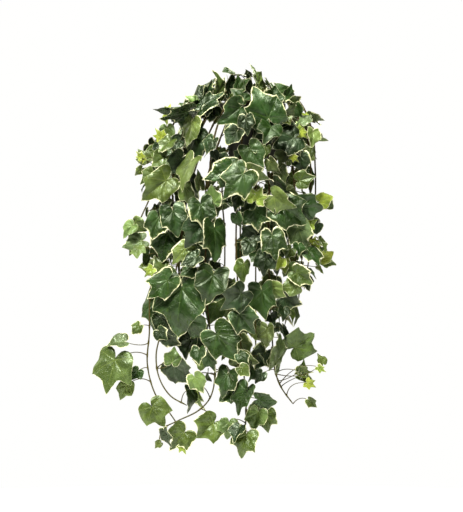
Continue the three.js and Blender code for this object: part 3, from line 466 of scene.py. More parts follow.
# The plant's outline in the front view, and the openings through it as left, top, right and bottom
OUTLINE = (
    (219, 66), (254, 61), (270, 80), (300, 102), (326, 122), (322, 144), (312, 165), (322, 205),
    (312, 222), (322, 262), (310, 288), (302, 306), (300, 328), (317, 333), (310, 352), (284, 362),
    (280, 382), (276, 404), (272, 436), (248, 457), (222, 440), (190, 452), (166, 448), (168, 424),
    (196, 414), (186, 396), (160, 372), (166, 346), (144, 334), (146, 300), (137, 268), (120, 247),
    (122, 230), (146, 212), (140, 200), (134, 172), (136, 148), (156, 128), (154, 112), (182, 100),
    (200, 84),
)
OPENINGS = (
    (196, 122, 222, 137), (194, 158, 208, 170), (219, 171, 227, 184), (223, 208, 238, 228),
    (224, 232, 232, 272), (238, 262, 252, 288), (190, 163, 200, 196), (252, 262, 257, 288),
    (209, 322, 219, 332),
)

# Camera and light
LENS = 200
SENSOR = 36
FRONT_DEPTH = -70
FLOOR_HEIGHT = -0.80
FLOOR_RADIUS = 1.4
CLIP = (0.1, 50)
LIGHT_COLOUR = (1.0, 0.965, 0.79)
SURROUND_LIGHT = 0.015
SURROUND_SEEN = (1.0, 1.0, 0.99, 1)

# Lights: name, place and size in metres, and power in watts
LIGHTS = (
    ("key", (-0.8, -1.7, 2.1), 1.0, 205),
    ("fill", (1.5, -2.2, 0.3), 0.9, 6),
    ("back", (0.9, 2.5, 1.4), 1.4, 95),
    ("left", (-2.3, 0.9, 0.8), 1.2, 20),
    ("top", (-0.2, 0.1, 2.2), 1.2, 34),
)

# How the solids' blades are read: their thickness and its tolerance in millimetres, how nearly parallel two
# pairs of a rim are, and the pairs round a rim by the kind of blade
BLADE_THICKNESS = 0.8
SOLID_TOLERANCE = 0.02
PARALLEL = 0.98
RIM_PAIRS = {7: "three", 9: "five"}

# About one turn in radians, the range that the phases of waves are drawn from
TURN = 6.3

UP = np.array((0.0, 0.0, 1.0))
TO_VIEWER = np.array((0.0, -1.0, 0.0))


def place(x, y, depth=0.0):
    """A place in the front view, in millimetres, with its depth behind the pot's axis."""
    return np.array(((x - AXIS_X) * PIXEL / MM, depth, (RIM_Y - y) * PIXEL / MM))


def pixel_of(point):
    """The pixel of the front view that a place in millimetres falls on."""
    return AXIS_X + point[0] * MM / PIXEL, RIM_Y - point[2] * MM / PIXEL


def unit(vector):
    return vector / np.linalg.norm(vector)


def turned(vector, axis, degrees):
    """A vector turned about an axis of length 1."""
    angle = math.radians(degrees)
    along = axis * np.dot(axis, vector)
    return along + (vector - along) * math.cos(angle) + np.cross(axis, vector) * math.sin(angle)


def on_circle(radius, count, start=0.0):
    """Places spread evenly round a circle, from an angle in radians on."""
    angles = [start + 2 * math.pi * i / count for i in range(count)]
    return [(radius * math.cos(angle), radius * math.sin(angle)) for angle in angles]


def smoothstep(low, high, value):
    t = np.clip((value - low) / (high - low), 0, 1)
    return t * t * (3 - 2 * t)


# Stems


def seeded_draws(seed):
    """The seeded random numbers, from 0 to 1, that the rule of the stems at the back draws from."""
    mask = 0xFFFFFFFF

    def times(a, b):
        return (a * b) & mask

    state = seed
    while True:
        state = (state + 0x6D2B79F5) & mask
        t = times(state ^ (state >> 15), 1 | state)
        t = ((t + times(t ^ (t >> 7), 61 | t)) & mask) ^ t
        yield ((t ^ (t >> 14)) & mask) / 4294967296


def back_stems():
    """The stems at the back: over the rim at their own angle, out to the plant's girth, then down."""
    draws = seeded_draws(SEED)
    stems = {}
    for i, drop in enumerate(BACK_DROPS):
        share = (i + 0.5) / len(BACK_DROPS)
        angle = math.pi * (BACK_ARC[0] + (BACK_ARC[1] - BACK_ARC[0]) * share)
        out = np.array((math.cos(angle), math.sin(angle), 0.0))
        girth = np.array((GIRTH_CENTRE + GIRTH_X * out[0], GIRTH_Y * out[1], 0.0))
        route = [
            out * BACK_RISE[0] + UP * BACK_RISE[1],
            (out * BACK_FALL[0] + girth) / 2 + UP * BACK_FALL[1],
            girth + UP * GIRTH_HEIGHT,
        ]
        for depth in range(SWAY_FROM, drop, SWAY_STEP):
            sway = GIRTH_SWAY[0] + (GIRTH_SWAY[1] - GIRTH_SWAY[0]) * next(draws)
            route.append(girth * sway - UP * depth)
        stems[f"back_{i + 1}"] = (out[:2] * BACK_HOLE_RING, route)
    return stems


def smooth_path(points, step):
    """Points about a step apart on a centripetal Catmull-Rom curve through the given ones."""
    points = [np.asarray(p, float) for p in points]
    padded = [2 * points[0] - points[1], *points, 2 * points[-1] - points[-2]]
    path = [points[0]]
    for i in range(1, len(padded) - 2):
        p0, p1, p2, p3 = padded[i - 1:i + 3]
        d0, d1, d2 = (math.sqrt(np.linalg.norm(b - a)) for a, b in ((p0, p1), (p1, p2), (p2, p3)))
        t1 = ((p1 - p0) / d0 - (p2 - p0) / (d0 + d1) + (p2 - p1) / d1) * d1
        t2 = ((p2 - p1) / d1 - (p3 - p1) / (d1 + d2) + (p3 - p2) / d2) * d1
        count = max(1, round(np.linalg.norm(p2 - p1) / step))
        for k in range(1, count + 1):
            t = k / count
            path.append(p1 + t1 * t + (-3 * p1 + 3 * p2 - 2 * t1 - t2) * t * t
                        + (2 * p1 - 2 * p2 + t1 + t2) * t ** 3)
    return np.array(path)


def stem_paths():
    """Every stem's path in millimetres, from its foot in the soil, by its name."""
    routes = {name: (hole, [place(*p) for p in route]) for name, (hole, route) in FRONT_STEMS.items()}
    routes.update(back_stems())
    paths = {}
    for name, (hole, route) in routes.items():
        start = np.array((hole[0], hole[1], STEM_START), float)
        points = [start]
        if not name.startswith("crown"):
            points.append(unit(start * (1, 1, 0)) * CREST_RADIUS + UP * CREST_HEIGHT)
        path = smooth_path([*points, *route], STEM_STEP)
        heights = np.linspace(FOOT_BOTTOM, STEM_START - FOOT_GAP, FOOT_POINTS)
        foot = np.array([[hole[0], hole[1], z] for z in heights])
        paths[name] = np.vstack((foot, path))
    return paths


# Leaves of the solids


def merged_mesh(obj):
    """A node's corner points in millimetres, each once, and the neighbours of each."""
    mesh = obj.data
    mesh.calc_loop_triangles()
    points = np.empty(len(mesh.vertices) * 3, np.float32)
    mesh.vertices.foreach_get("co", points)
    points = points.reshape(-1, 3).astype(float) / MM
    triangles = np.empty(len(mesh.loop_triangles) * 3, np.int32)
    mesh.loop_triangles.foreach_get("vertices", triangles)
    _, first, index = np.unique(np.round(points, 2), axis=0, return_index=True, return_inverse=True)
    triangles = index.reshape(-1)[triangles].reshape(-1, 3)
    neighbours = {}
    for a, b, c in triangles.tolist():
        neighbours.setdefault(a, set()).update((b, c))
        neighbours.setdefault(b, set()).update((a, c))
        neighbours.setdefault(c, set()).update((a, b))
    return points[first], neighbours


def rim_chains(points, neighbours):
    """The rims of a node's blades: chains of corner pairs, one on each face, round each blade's edge."""
    pairs = []
    at_point = {}
    for a in neighbours:
        for b in neighbours[a]:
            if a < b and abs(np.linalg.norm(points[a] - points[b]) - BLADE_THICKNESS) < SOLID_TOLERANCE:
                at_point.setdefault(a, []).append((len(pairs), 0))
                at_point.setdefault(b, []).append((len(pairs), 1))
                pairs.append((a, b))
    links = {i: {} for i in range(len(pairs))}
    for i, (a, b) in enumerate(pairs):
        for c in neighbours[a]:
            for j, side in at_point.get(c, ()):
                d = pairs[j][1 - side]
                if j == i or d not in neighbours[b]:
                    continue
                if np.dot(points[a] - points[b], points[c] - points[d]) > PARALLEL * BLADE_THICKNESS ** 2:
                    links[i][j] = side
                    links[j][i] = side
    chains = []
    seen = set()
    for start in links:
        if start in seen or len(links[start]) != 1:
            continue
        chain = [pairs[start]]
        last, flipped = start, 0
        seen.add(start)
        while True:
            following = [j for j in links[last] if j not in seen]
            if not following:
                break
            flipped ^= links[last][following[0]]
            last = following[0]
            seen.add(last)
            chain.append(pairs[last][::-1] if flipped else pairs[last])
        if len(chain) in RIM_PAIRS:
            chains.append(chain)
    return chains


def read_leaf(points, neighbours, chain):
    """A blade's pose and its stalk's bend and foot, from its solid. None where its stalk is hidden."""
    sides = [[pair[k] for pair in chain] for k in (0, 1)]
    for upper, lower in (sides, sides[::-1]):
        under = set.intersection(*(neighbours[p] for p in lower)) - set(upper) - set(lower)
        if len(under) == 1:
            break
    else:
        return None
    under = under.pop()
    rim = set(upper) | set(lower)
    hubs = [p for p in neighbours[under] - rim if len(neighbours[p] & set(upper)) > 2]
    if len(hubs) != 2:
        return None
    hub = points[[under, *hubs]].mean(0)
    facing = unit((points[upper] - points[lower]).mean(0))
    outline = (points[upper] + points[lower]) / 2 - hub
    tip = outline[len(outline) // 2]
    along = tip - facing * np.dot(tip, facing)
    length = np.linalg.norm(along)
    along = along / length
    across = np.cross(along, facing)
    x, y, height = outline @ across / length, outline @ along / length, outline @ facing / length
    terms = np.stack((np.abs(x), -(x * x + y * y), x * y), axis=1)
    fold, droop, twist = np.linalg.lstsq(terms, height, rcond=None)[0]
    ring = set.union(*(neighbours[p] for p in (under, *hubs))) - rim - {under, *hubs}
    beyond = set.union(*(neighbours[p] for p in ring)) - ring - {under, *hubs} if ring else set()
    return {
        "junction": hub, "along": along, "across": across, "facing": facing, "length": length,
        "fold": fold, "droop": droop, "twist": twist, "kind": RIM_PAIRS[len(chain)],
        "bend": points[list(ring)].mean(0) if ring else None,
        "foot": points[list(beyond)].mean(0) if beyond else hub,
    }


# Leaves that the solids leave out


class Room:
    """Which places are taken, by points in cells."""

    def __init__(self, cell):
        self.cell = cell
        self.cells = {}

    def key(self, point):
        return tuple(int(v) for v in np.floor(point / self.cell))

    def take(self, points):
        for point in points:
            self.cells.setdefault(self.key(point), []).append(point)

    def is_free(self, points, distance):
        for point in points:
            x, y, z = self.key(point)
            around = [
                other
                for i in (x - 1, x, x + 1) for j in (y - 1, y, y + 1) for k in (z - 1, z, z + 1)
                for other in self.cells.get((i, j, k), ())
            ]
            if around and np.min(np.sum((np.array(around) - point) ** 2, axis=1)) < distance ** 2:
                return False
        return True


def blade_samples(pose):
    """Points spread over a blade."""
    samples = []
    for angle, reach in ROOM_PLACES:
        for side in (-1, 1):
            x = side * math.sin(math.radians(angle)) * reach
            y = math.cos(math.radians(angle)) * reach
            height = pose["fold"] * abs(x) - pose["droop"] * reach ** 2 + pose["twist"] * x * y
            samples.append(pose["junction"] + pose["length"] * (
                x * pose["across"] + y * pose["along"] + height * pose["facing"]))
    return np.array(samples)


def posed(junction, direction, towards, roll, length, rng, kind):
    """A blade's pose from its midrib's direction and the side that its upper face looks to."""
    along = unit(direction)
    facing = turned(unit(towards - along * np.dot(towards, along)), along, roll)
    return {
        "junction": junction, "along": along, "across": np.cross(along, facing), "facing": facing,
        "length": length, **{name: rng.uniform(*ends) for name, ends in BEND.items()},
        "kind": kind, "bend": None, "foot": junction,
    }


def nearest(path, point):
    """The place on a path nearest to a point."""
    distances = np.linalg.norm(path - point, axis=1)
    return path[int(np.argmin(distances))]


def in_box(points, box, inset):
    """True where all points lie deeper inside the box than the inset."""
    return (points >= box[0] + inset).all() and (points <= box[1] - inset).all()


def add_small_leaves(paths, leaves, room, rng, box):
    """The small leaves seen from the front, each on the stem nearest to it there, at a free depth."""
    front = {name: path[STEM_FOOT_STEPS:] for name, path in paths.items() if name in FRONT_STEMS}
    for x, y, tip_x, tip_y, turn, tone in SMALL_LEAVES:
        seen = place(x, y)
        best = None
        for name, path in front.items():
            distances = np.hypot(path[:, 0] - seen[0], path[:, 2] - seen[2])
            index = int(np.argmin(distances))
            if best is None or distances[index] < best[0]:
                best = (distances[index], name, path[index])
        distance, name, root = best
        direction = place(tip_x, tip_y) - seen
        length = np.linalg.norm(direction)
        reach = max(SMALL_STALK, distance * SMALL_LONGER)
        start = root[1] - math.sqrt(reach ** 2 - distance ** 2) - (YOUNG_NEARER if tone == "young" else 0)
        kind = "star" if tone == "young" else "three" if length < FIVE_LOBES_FROM else "five"
        for step in range(SMALL_DEPTHS):
            offset = step // 2 * (1 if step % 2 else -1) * SMALL_DEPTH_STEP
            junction = seen + (0, start + offset, 0)
            pose = posed(junction, direction, TO_VIEWER, turn, length, rng, kind)
            pose["foot"] = root
            pose["tone"] = tone
            samples = blade_samples(pose)
            if in_box(samples, box, SMALL_INSET) and room.is_free(samples, SMALL_ROOM):
                leaves[name].append(pose)
                room.take(samples)
                break


def in_outline(points):
    """True where all points fall inside the plant's outline in the front view and outside its openings."""
    for point in points:
        x, y = pixel_of(point)
        if any(left < x < right and top < y < bottom for left, top, right, bottom in OPENINGS):
            return False
        inside = False
        for (ax, ay), (bx, by) in zip(OUTLINE, OUTLINE[-1:] + OUTLINE[:-1]):
            if (ay > y) != (by > y) and x < (bx - ax) * (y - ay) / (by - ay) + ax:
                inside = not inside
        if not inside:
            return False
    return True


def add_fill_leaves(paths, leaves, room, rng, box):
    """Small leaves by rule on all sides, that look outwards, where there is room in the solids' box."""
    names = sorted(paths)
    weights = [len(paths[name]) for name in names]
    added = 0
    for _ in range(FILL_TRIES):
        if added == FILL_LEAVES:
            break
        name = rng.choices(names, weights)[0]
        count = len(paths[name]) - STEM_FOOT_STEPS
        near_pot = rng.random() < FILL_POT_SHARE
        root = paths[name][STEM_FOOT_STEPS + rng.randrange(count // 3 if near_pot else count)]
        if root[1] < FILL_FRONT and rng.random() > FILL_FRONT_SHARE:
            continue
        middle_x = GIRTH_CENTRE * min(1, max(0, -root[2] / GIRTH_FULL_DEPTH))
        heading = unit(np.array((root[0] - middle_x, root[1], 0.0)))
        outward = turned(heading, UP, rng.uniform(-FILL_SPREAD, FILL_SPREAD))
        sideways = np.cross(UP, outward)
        rule = FILL_ON_TOP if root[2] > 0 else FILL_ON_SIDES
        rise = math.radians(rng.uniform(*rule["rise"]))
        reach = rng.uniform(*FILL_REACH)
        junction = root + reach * (outward * math.cos(rise) + UP * math.sin(rise))
        direction = (outward * rng.uniform(*rule["out"])
                     + sideways * rng.uniform(-FILL_SIDEWAYS, FILL_SIDEWAYS)
                     + UP * rng.uniform(*rule["up"]))
        towards = outward + UP * rng.uniform(*rule["face_up"])
        length = rng.uniform(*FILL_LENGTH)
        roll = rng.uniform(-FILL_ROLL, FILL_ROLL)
        pose = posed(junction, direction, towards, roll, length, rng, "three")
        pose["foot"] = root
        samples = blade_samples(pose)
        if not in_box(samples, box, FILL_INSET) or not in_outline(samples):
            continue
        if room.is_free(samples, FILL_ROOM):
            if junction[1] < 0:
                pose["tone"] = rng.choice(FRONT_FILL_TONES)
            leaves[name].append(pose)
            room.take(samples)
            added += 1


# Shapes of blades, stalks and stems


def half_outline(runs):
    """A half outline as smooth points from the tip to the notch, for a blade of length 1."""
    points = []
    for run, steps in zip(runs, RUN_STEPS):
        corners = [(math.sin(math.radians(a)) * r, math.cos(math.radians(a)) * r, 0) for a, r in run]
        fine = smooth_path(corners, OUTLINE_STEP)
        lengths = np.concatenate(([0], np.cumsum(np.linalg.norm(np.diff(fine, axis=0), axis=1))))
        at = np.linspace(0, lengths[-1], steps + 1)
        points.append(np.stack([np.interp(at, lengths, fine[:, k]) for k in (0, 1)], axis=1))
    return np.vstack((points[0], points[1][1:]))


def heart_reach(bearing):
    """How far a heart-shaped blade without lobes reaches at an angle from its tip, in radians."""
    return 1 - sum(fall * smoothstep(low, high, bearing) for fall, low, high in HEART_FALLS)


def blade_template(runs):
    """Outline points of a whole blade from its left notch round the tip to its right one, with the share of
    the way from the stalk that runs square to the edge."""
    half = half_outline(runs)
    outline = np.vstack((half[::-1] * (-1, 1), half[1:]))
    tangent = np.gradient(outline, axis=0)
    cross = outline[:, 0] * tangent[:, 1] - outline[:, 1] * tangent[:, 0]
    square = np.abs(cross) / (np.linalg.norm(outline, axis=1) * np.linalg.norm(tangent, axis=1))
    return outline, np.clip(square, 0.25, 1)


TEMPLATES = {
    "five": blade_template(FIVE_LOBES),
    "three": blade_template(THREE_LOBES),
    "star": blade_template(STAR_LOBES),
}


def add_object(name, data):
    obj = bpy.data.objects.new(name, data)
    bpy.context.collection.objects.link(obj)
    return obj


class Mesh:
    """Collects corners, faces and their attributes for one piece."""

    def __init__(self):
        self.points = []
        self.faces = []
        self.slots = []
        self.values = {"leaf_xy": [], "leaf_tone": [], "leaf_traits": []}

    def add(self, points, faces, slot, xy=None, tone=(0, 0, 0), traits=(0, 0, 0)):
        start = len(self.points)
        count = len(points)
        self.points.extend(points)
        self.faces.extend([tuple(start + i for i in face) for face in faces])
        self.slots.extend([slot] * len(faces))
        self.values["leaf_xy"].extend(np.zeros((count, 3)) if xy is None else xy)
        self.values["leaf_tone"].extend([tone] * count)
        self.values["leaf_traits"].extend(traits if np.ndim(traits) == 2 else [traits] * count)

    def build(self, name, materials):
        mesh = bpy.data.meshes.new(name)
        mesh.from_pydata((np.array(self.points) * MM).tolist(), [], self.faces)
        for material in materials:
            mesh.materials.append(material)
        mesh.polygons.foreach_set("material_index", self.slots)
        mesh.polygons.foreach_set("use_smooth", [True] * len(self.faces))
        for key, values in self.values.items():
            attribute = mesh.attributes.new(key, "FLOAT_VECTOR", "POINT")
            attribute.data.foreach_set("vector", np.array(values, np.float32).ravel())
        mesh.update()
        return add_object(name, mesh)


def puckers(x, y, length, rng):
    """The height of the puckers across a blade at places on it, as shares of its length."""
    height = np.zeros_like(x)
    for pitch, rise in PUCKERS:
        angle = rng.uniform(0, 2 * math.pi)
        ahead = x * math.cos(angle) + y * math.sin(angle)
        beside = y * math.cos(angle) - x * math.sin(angle)
        turn = 2 * math.pi * length / pitch
        swing = PUCKER_SWING * np.sin(PUCKER_SWINGS * turn * beside)
        height = height + rise / length * np.sin(turn * ahead + swing + rng.uniform(0, TURN))
    return height * min(1, length / PUCKERS_FULL_FROM)


def is_broad(pose):
    """True for a blade that the front view shows at its full width."""
    x, y = pixel_of(pose["junction"])
    near = any(math.hypot(px - x, py - y) < TONE_REACH for px, py in BROAD_LEAVES)
    return near and pose["junction"][1] < 0


def blade_edge(pose, rng):
    """A blade's own edge, for a length of 1, and the angle of each of its points from the tip."""
    outline, _ = TEMPLATES[pose["kind"]]
    bearing = np.arctan2(outline[:, 0], outline[:, 1])
    broad = is_broad(pose)
    swell = np.ones(len(bearing))
    if pose["kind"] != "star":
        plain = rng.uniform(*PLAIN_SHARE)
        to_heart = heart_reach(np.abs(bearing)) / np.linalg.norm(outline, axis=1) - 1
        swell += (0 if broad else plain) * to_heart
    for centre, width, low, high in SWELLS:
        for side in (-1, 1):
            off = (bearing * side - math.radians(centre)) / math.radians(width)
            swell += rng.uniform(low, high) * np.exp(-off ** 2)
    ripple = RIPPLE * np.sin(RIPPLE_COUNT * bearing + rng.uniform(0, TURN))
    swell += ripple * smoothstep(*RIPPLE_FADE, np.abs(bearing))
    swell += rng.uniform(*TOOTH) * np.sin(TOOTH_COUNT * np.abs(bearing) + rng.uniform(0, TURN))
    slim = rng.uniform(*SLIMNESS)
    return outline * swell[:, None] * (1 if broad else slim, 1), bearing


def blade_height(pose, x, y, share, bearing, rng):
    """How far places on a blade lie out towards its upper face, as shares of its length."""
    fold = pose["fold"] + rng.uniform(*MORE_FOLD)
    height = fold * (np.sqrt(x * x + FOLD_ROUNDING) - FOLD_SUNK)
    height = height - pose["droop"] * (x * x + y * y) + pose["twist"] * x * y
    veins = np.radians(VEIN_ANGLES[pose["kind"]])
    off_vein = np.min(np.abs(np.abs(bearing)[:, None] - veins[None]), axis=1)
    puff = rng.uniform(*PUFF) * smoothstep(0, PUFF_ANGLE, off_vein)
    height = height + puff[None] * share * (1 - share ** 2)
    wave = rng.uniform(*WAVE)
    for count, part in WAVES:
        height = height + wave * part * share ** 2.5 * np.sin(count * bearing + rng.uniform(0, TURN))[None]
    for side in (-1, 1):
        height = height + rng.uniform(*SIDE_CURL) * smoothstep(*SIDE_CURL_PLACES, x * side) ** 1.5
    height = height - rng.uniform(*TIP_CURL) * smoothstep(*TIP_CURL_PLACES, y)
    return height + puckers(x, y, pose["length"], rng) * smoothstep(*PUCKER_FADE, share)


def blade_faces(spokes):
    """The faces of one sheet of a blade, from its stalk's end out through its rings."""
    faces = [(0, 1 + i, 2 + i) for i in range(spokes - 1)]
    for k in range(len(RINGS) - 2):
        low, high = 1 + k * spokes, 1 + (k + 1) * spokes
        faces += [(low + i, high + i, high + i + 1, low + i + 1) for i in range(spokes - 1)]
    return faces


def add_blade(mesh, pose, tone, rng, box):
    """A blade of two sheets that meet at its edge."""
    edge, bearing = blade_edge(pose, rng)
    length = pose["length"]
    share = np.array(RINGS)[:, None]
    xy = share[..., None] * edge[None]
    x, y = xy[..., 0], xy[..., 1]
    height = blade_height(pose, x, y, share, bearing, rng)
    middle = pose["junction"] + length * (x[..., None] * pose["across"] + y[..., None] * pose["along"]
                                          + height[..., None] * pose["facing"])
    middle = np.clip(middle, box[0] + BOX_INSET, box[1] - BOX_INSET)
    half = HALF_THICKNESS * (1 - share ** 6)
    faces = blade_faces(len(edge))
    _, square = TEMPLATES[pose["kind"]]
    from_edge = (1 - share) * np.linalg.norm(edge, axis=1)[None] * square[None] * length
    margin = rng.choice(MARGINS) * min(1, length / MARGIN_FULL_FROM)
    chance = rng.random()
    for side, slot in ((1, 0), (-1, 1)):
        sheet = middle + side * half[..., None] * pose["facing"]
        points = np.vstack((sheet[0, :1], sheet[1:].reshape(-1, 3)))
        places = np.stack((x, y, from_edge), axis=-1)
        places = np.vstack((places[0, :1], places[1:].reshape(-1, 3)))
        turned_faces = [face[::-1] for face in faces] if side > 0 else faces
        mesh.add(points, turned_faces, slot, places, tone, (chance, margin, 0))


def tube_frames(path):
    """Unit vectors square to a path and to each other, that don't twist along it."""
    tangents = np.gradient(path, axis=0)
    tangents /= np.linalg.norm(tangents, axis=1)[:, None]
    side = np.cross(tangents[0], UP if abs(tangents[0][2]) < 0.9 else TO_VIEWER)
    sides = []
    for tangent in tangents:
        side = unit(side - tangent * np.dot(side, tangent))
        sides.append(side)
    sides = np.array(sides)
    return sides, np.cross(tangents, sides)


def add_tube(mesh, path, radii, sides_count, greens, chance):
    """A round tube with closed ends: how green each ring is, and a number of its own as each blade has."""
    sides, ups = tube_frames(path)
    angles = np.linspace(0, 2 * math.pi, sides_count, endpoint=False)
    rings = (path[:, None] + radii[:, None, None] * (
        np.cos(angles)[None, :, None] * sides[:, None] + np.sin(angles)[None, :, None] * ups[:, None]))
    faces = []
    for k in range(len(path) - 1):
        for i in range(sides_count):
            j = (i + 1) % sides_count
            faces.append((k * sides_count + i, k * sides_count + j, (k + 1) * sides_count + j,
                          (k + 1) * sides_count + i))
    faces.append(tuple(range(sides_count))[::-1])
    faces.append(tuple((len(path) - 1) * sides_count + i for i in range(sides_count)))
    traits = np.zeros((len(path) * sides_count, 3))
    traits[:, 0] = np.repeat(greens, sides_count)
    traits[:, 1] = chance
    mesh.add(rings.reshape(-1, 3), faces, 2, traits=traits)


def add_stem(mesh, path, knots, rng):
    """A stem that tapers from its foot to its tip and swells a little where each stalk leaves it."""
    share = np.linspace(0, 1, len(path))
    radii = STEM_THICK + (STEM_THIN - STEM_THICK) * share
    radii *= 1 + STEM_RIPPLE * np.sin(share * STEM_RIPPLES + rng.uniform(0, TURN))
    for knot in knots:
        distances = np.linalg.norm(path - knot, axis=1)
        radii += KNOT_HEIGHT * np.exp(-(distances / KNOT_REACH) ** 2) * (distances == distances.min())
    radii[-1] *= STEM_TIP
    greens = smoothstep(STEM_GREEN_FROM, 1, share) * STEM_GREEN_MORE + STEM_GREEN_LEAST
    add_tube(mesh, path, radii, STEM_SIDES, greens, rng.random())


def add_stalk(mesh, pose, root, rng):
    """A stalk's smooth curve from the blade through its bend to the stem."""
    junction, along, facing = pose["junction"], pose["along"], pose["facing"]
    bend = pose["bend"]
    if bend is None:
        span = np.clip(np.linalg.norm(junction - root), STALK_BEND["from"], STALK_BEND["to"])
        bend = junction + STALK_BEND["share"] * (root - junction)
        bend = bend - STALK_BEND["back"] * span * along - STALK_BEND["under"] * span * facing
    pull = bend + STALK_PULL * (bend - (junction + root) / 2)
    t = np.linspace(0, 1, STALK_STEPS)[:, None]
    start = junction + along * STALK_UNDER_BLADE
    path = ((1 - t) ** 3 * start + (1 - t) ** 2 * t * (start + pull * 2)
            + (1 - t) * t ** 2 * (root + pull * 2) + t ** 3 * root)
    widths = (STALK_LEAF_RADIUS, STALK_LEAF_RADIUS, STALK_ROOT_RADIUS, STALK_ROOT_RADIUS * STALK_FLARE)
    radii = np.interp(t[:, 0], STALK_WIDTHS_AT, widths)
    radii = radii * min(1, STALK_THIN + pose["length"] / STALK_FULL_FROM)
    greens = 1 - STALK_GREEN_LOSS * t[:, 0] + rng.uniform(*STALK_GREEN_VARY)
    add_tube(mesh, path, radii, STALK_SIDES, greens, rng.random())


def tone_of(pose, rng):
    """A blade's colour: its tone as seen from the front, or one by rule, varied a little."""
    name = pose.get("tone")
    if name is None and pose["junction"][1] < 0 and pose["facing"][1] < FACES_FRONT:
        x, y = pixel_of(pose["junction"])
        best = TONE_REACH
        for candidate, places in SEEN_TONES.items():
            for px, py in places:
                distance = math.hypot(px - x, py - y)
                if distance < best:
                    best, name = distance, candidate
    if name is None:
        name = rng.choice(RULE_TONES)
    if name == "light" and pose["length"] < YOUNG_UNDER and rng.random() < YOUNG_CHANCE:
        name = "young"
    vary = rng.uniform(*TONE_VARY)
    if name == "light" and pose["length"] > DIMMER_FROM:
        vary *= DIMMER
    warm = rng.uniform(*TONE_WARM)
    red, green, blue = TONES[name]
    return red * vary * warm, green * vary, blue * vary / warm


def add_vine(name, path, leaves, materials, rng, box):
    """One leafy stem: its stem, stalks and blades."""
    mesh = Mesh()
    stem = path[FOOT_POINTS:]
    roots = [nearest(stem, pose["foot"]) for pose in leaves]
    add_stem(mesh, path, roots, rng)
    for pose, root in zip(leaves, roots):
        add_stalk(mesh, pose, root, rng)
        add_blade(mesh, pose, tone_of(pose, rng), rng, box)
    obj = mesh.build(f"{name}_foliage", materials)
    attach(obj, "root")
    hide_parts(f"vine_{name}")


# Materials


class Nodes:
    """Short ways to make shader nodes."""

    def __init__(self, name, **values):
        self.material = bpy.data.materials.new(name)
        self.material.use_nodes = True
        self.tree = self.material.node_tree
        self.shader = self.tree.nodes["Principled BSDF"]
        for key, value in values.items():
            self.shader.inputs[key.replace("_", " ")].default_value = value

    def link(self, value, socket):
        if isinstance(value, bpy.types.NodeSocket):
            self.tree.links.new(value, socket)
        else:
            socket.default_value = value

    def attribute(self, name):
        node = self.tree.nodes.new("ShaderNodeAttribute")
        node.attribute_name = name
        return node

    def split(self, vector):
        node = self.tree.nodes.new("ShaderNodeSeparateXYZ")
        self.link(vector, node.inputs[0])
        return node.outputs

    def math(self, operation, a, b=0.0):
        node = self.tree.nodes.new("ShaderNodeMath")
        node.operation = operation
        self.link(a, node.inputs[0])
        self.link(b, node.inputs[1])
        return node.outputs[0]

    def plus(self, a, b):
        return self.math("ADD", a, b)

    def minus(self, a, b):
        return self.math("SUBTRACT", a, b)

    def times(self, a, b):
        return self.math("MULTIPLY", a, b)

    def tinted(self, colour, tint):
        return self.mix(1.0, colour, tint, "MULTIPLY")

    def mix(self, share, a, b, blend="MIX"):
        node = self.tree.nodes.new("ShaderNodeMix")
        node.data_type = "RGBA"
        node.blend_type = blend
        for value, index in ((share, 0), (a, 6), (b, 7)):
            if isinstance(value, tuple) and len(value) == 3:
                value = (*value, 1)
            self.link(value, node.inputs[index])
        return node.outputs[2]

    def ramp(self, value, low, high, to_low=0.0, to_high=1.0):
        node = self.tree.nodes.new("ShaderNodeMapRange")
        node.interpolation_type = "SMOOTHSTEP"
        for item, index in ((value, 0), (low, 1), (high, 2), (to_low, 3), (to_high, 4)):
            self.link(item, node.inputs[index])
        return node.outputs[0]

    def texture(self, kind, **values):
        place_node = self.tree.nodes.new("ShaderNodeTexCoord")
        node = self.tree.nodes.new(kind)
        self.link(place_node.outputs["Object"], node.inputs["Vector"])
        for key, value in values.items():
            node.inputs[key].default_value = value
        return node

    def cell_edges(self, scale):
        node = self.texture("ShaderNodeTexVoronoi", Scale=scale)
        node.feature = "DISTANCE_TO_EDGE"
        return node.outputs[0]

    def noise(self, scale, detail=3.0, roughness=0.55):
        node = self.texture("ShaderNodeTexNoise", Scale=scale, Detail=detail, Roughness=roughness)
        return node.outputs[0]

    def bump(self, height, strength, distance):
        node = self.tree.nodes.new("ShaderNodeBump")
        node.inputs["Strength"].default_value = strength
        node.inputs["Distance"].default_value = distance
        self.link(height, node.inputs["Height"])
        self.link(node.outputs[0], self.shader.inputs["Normal"])


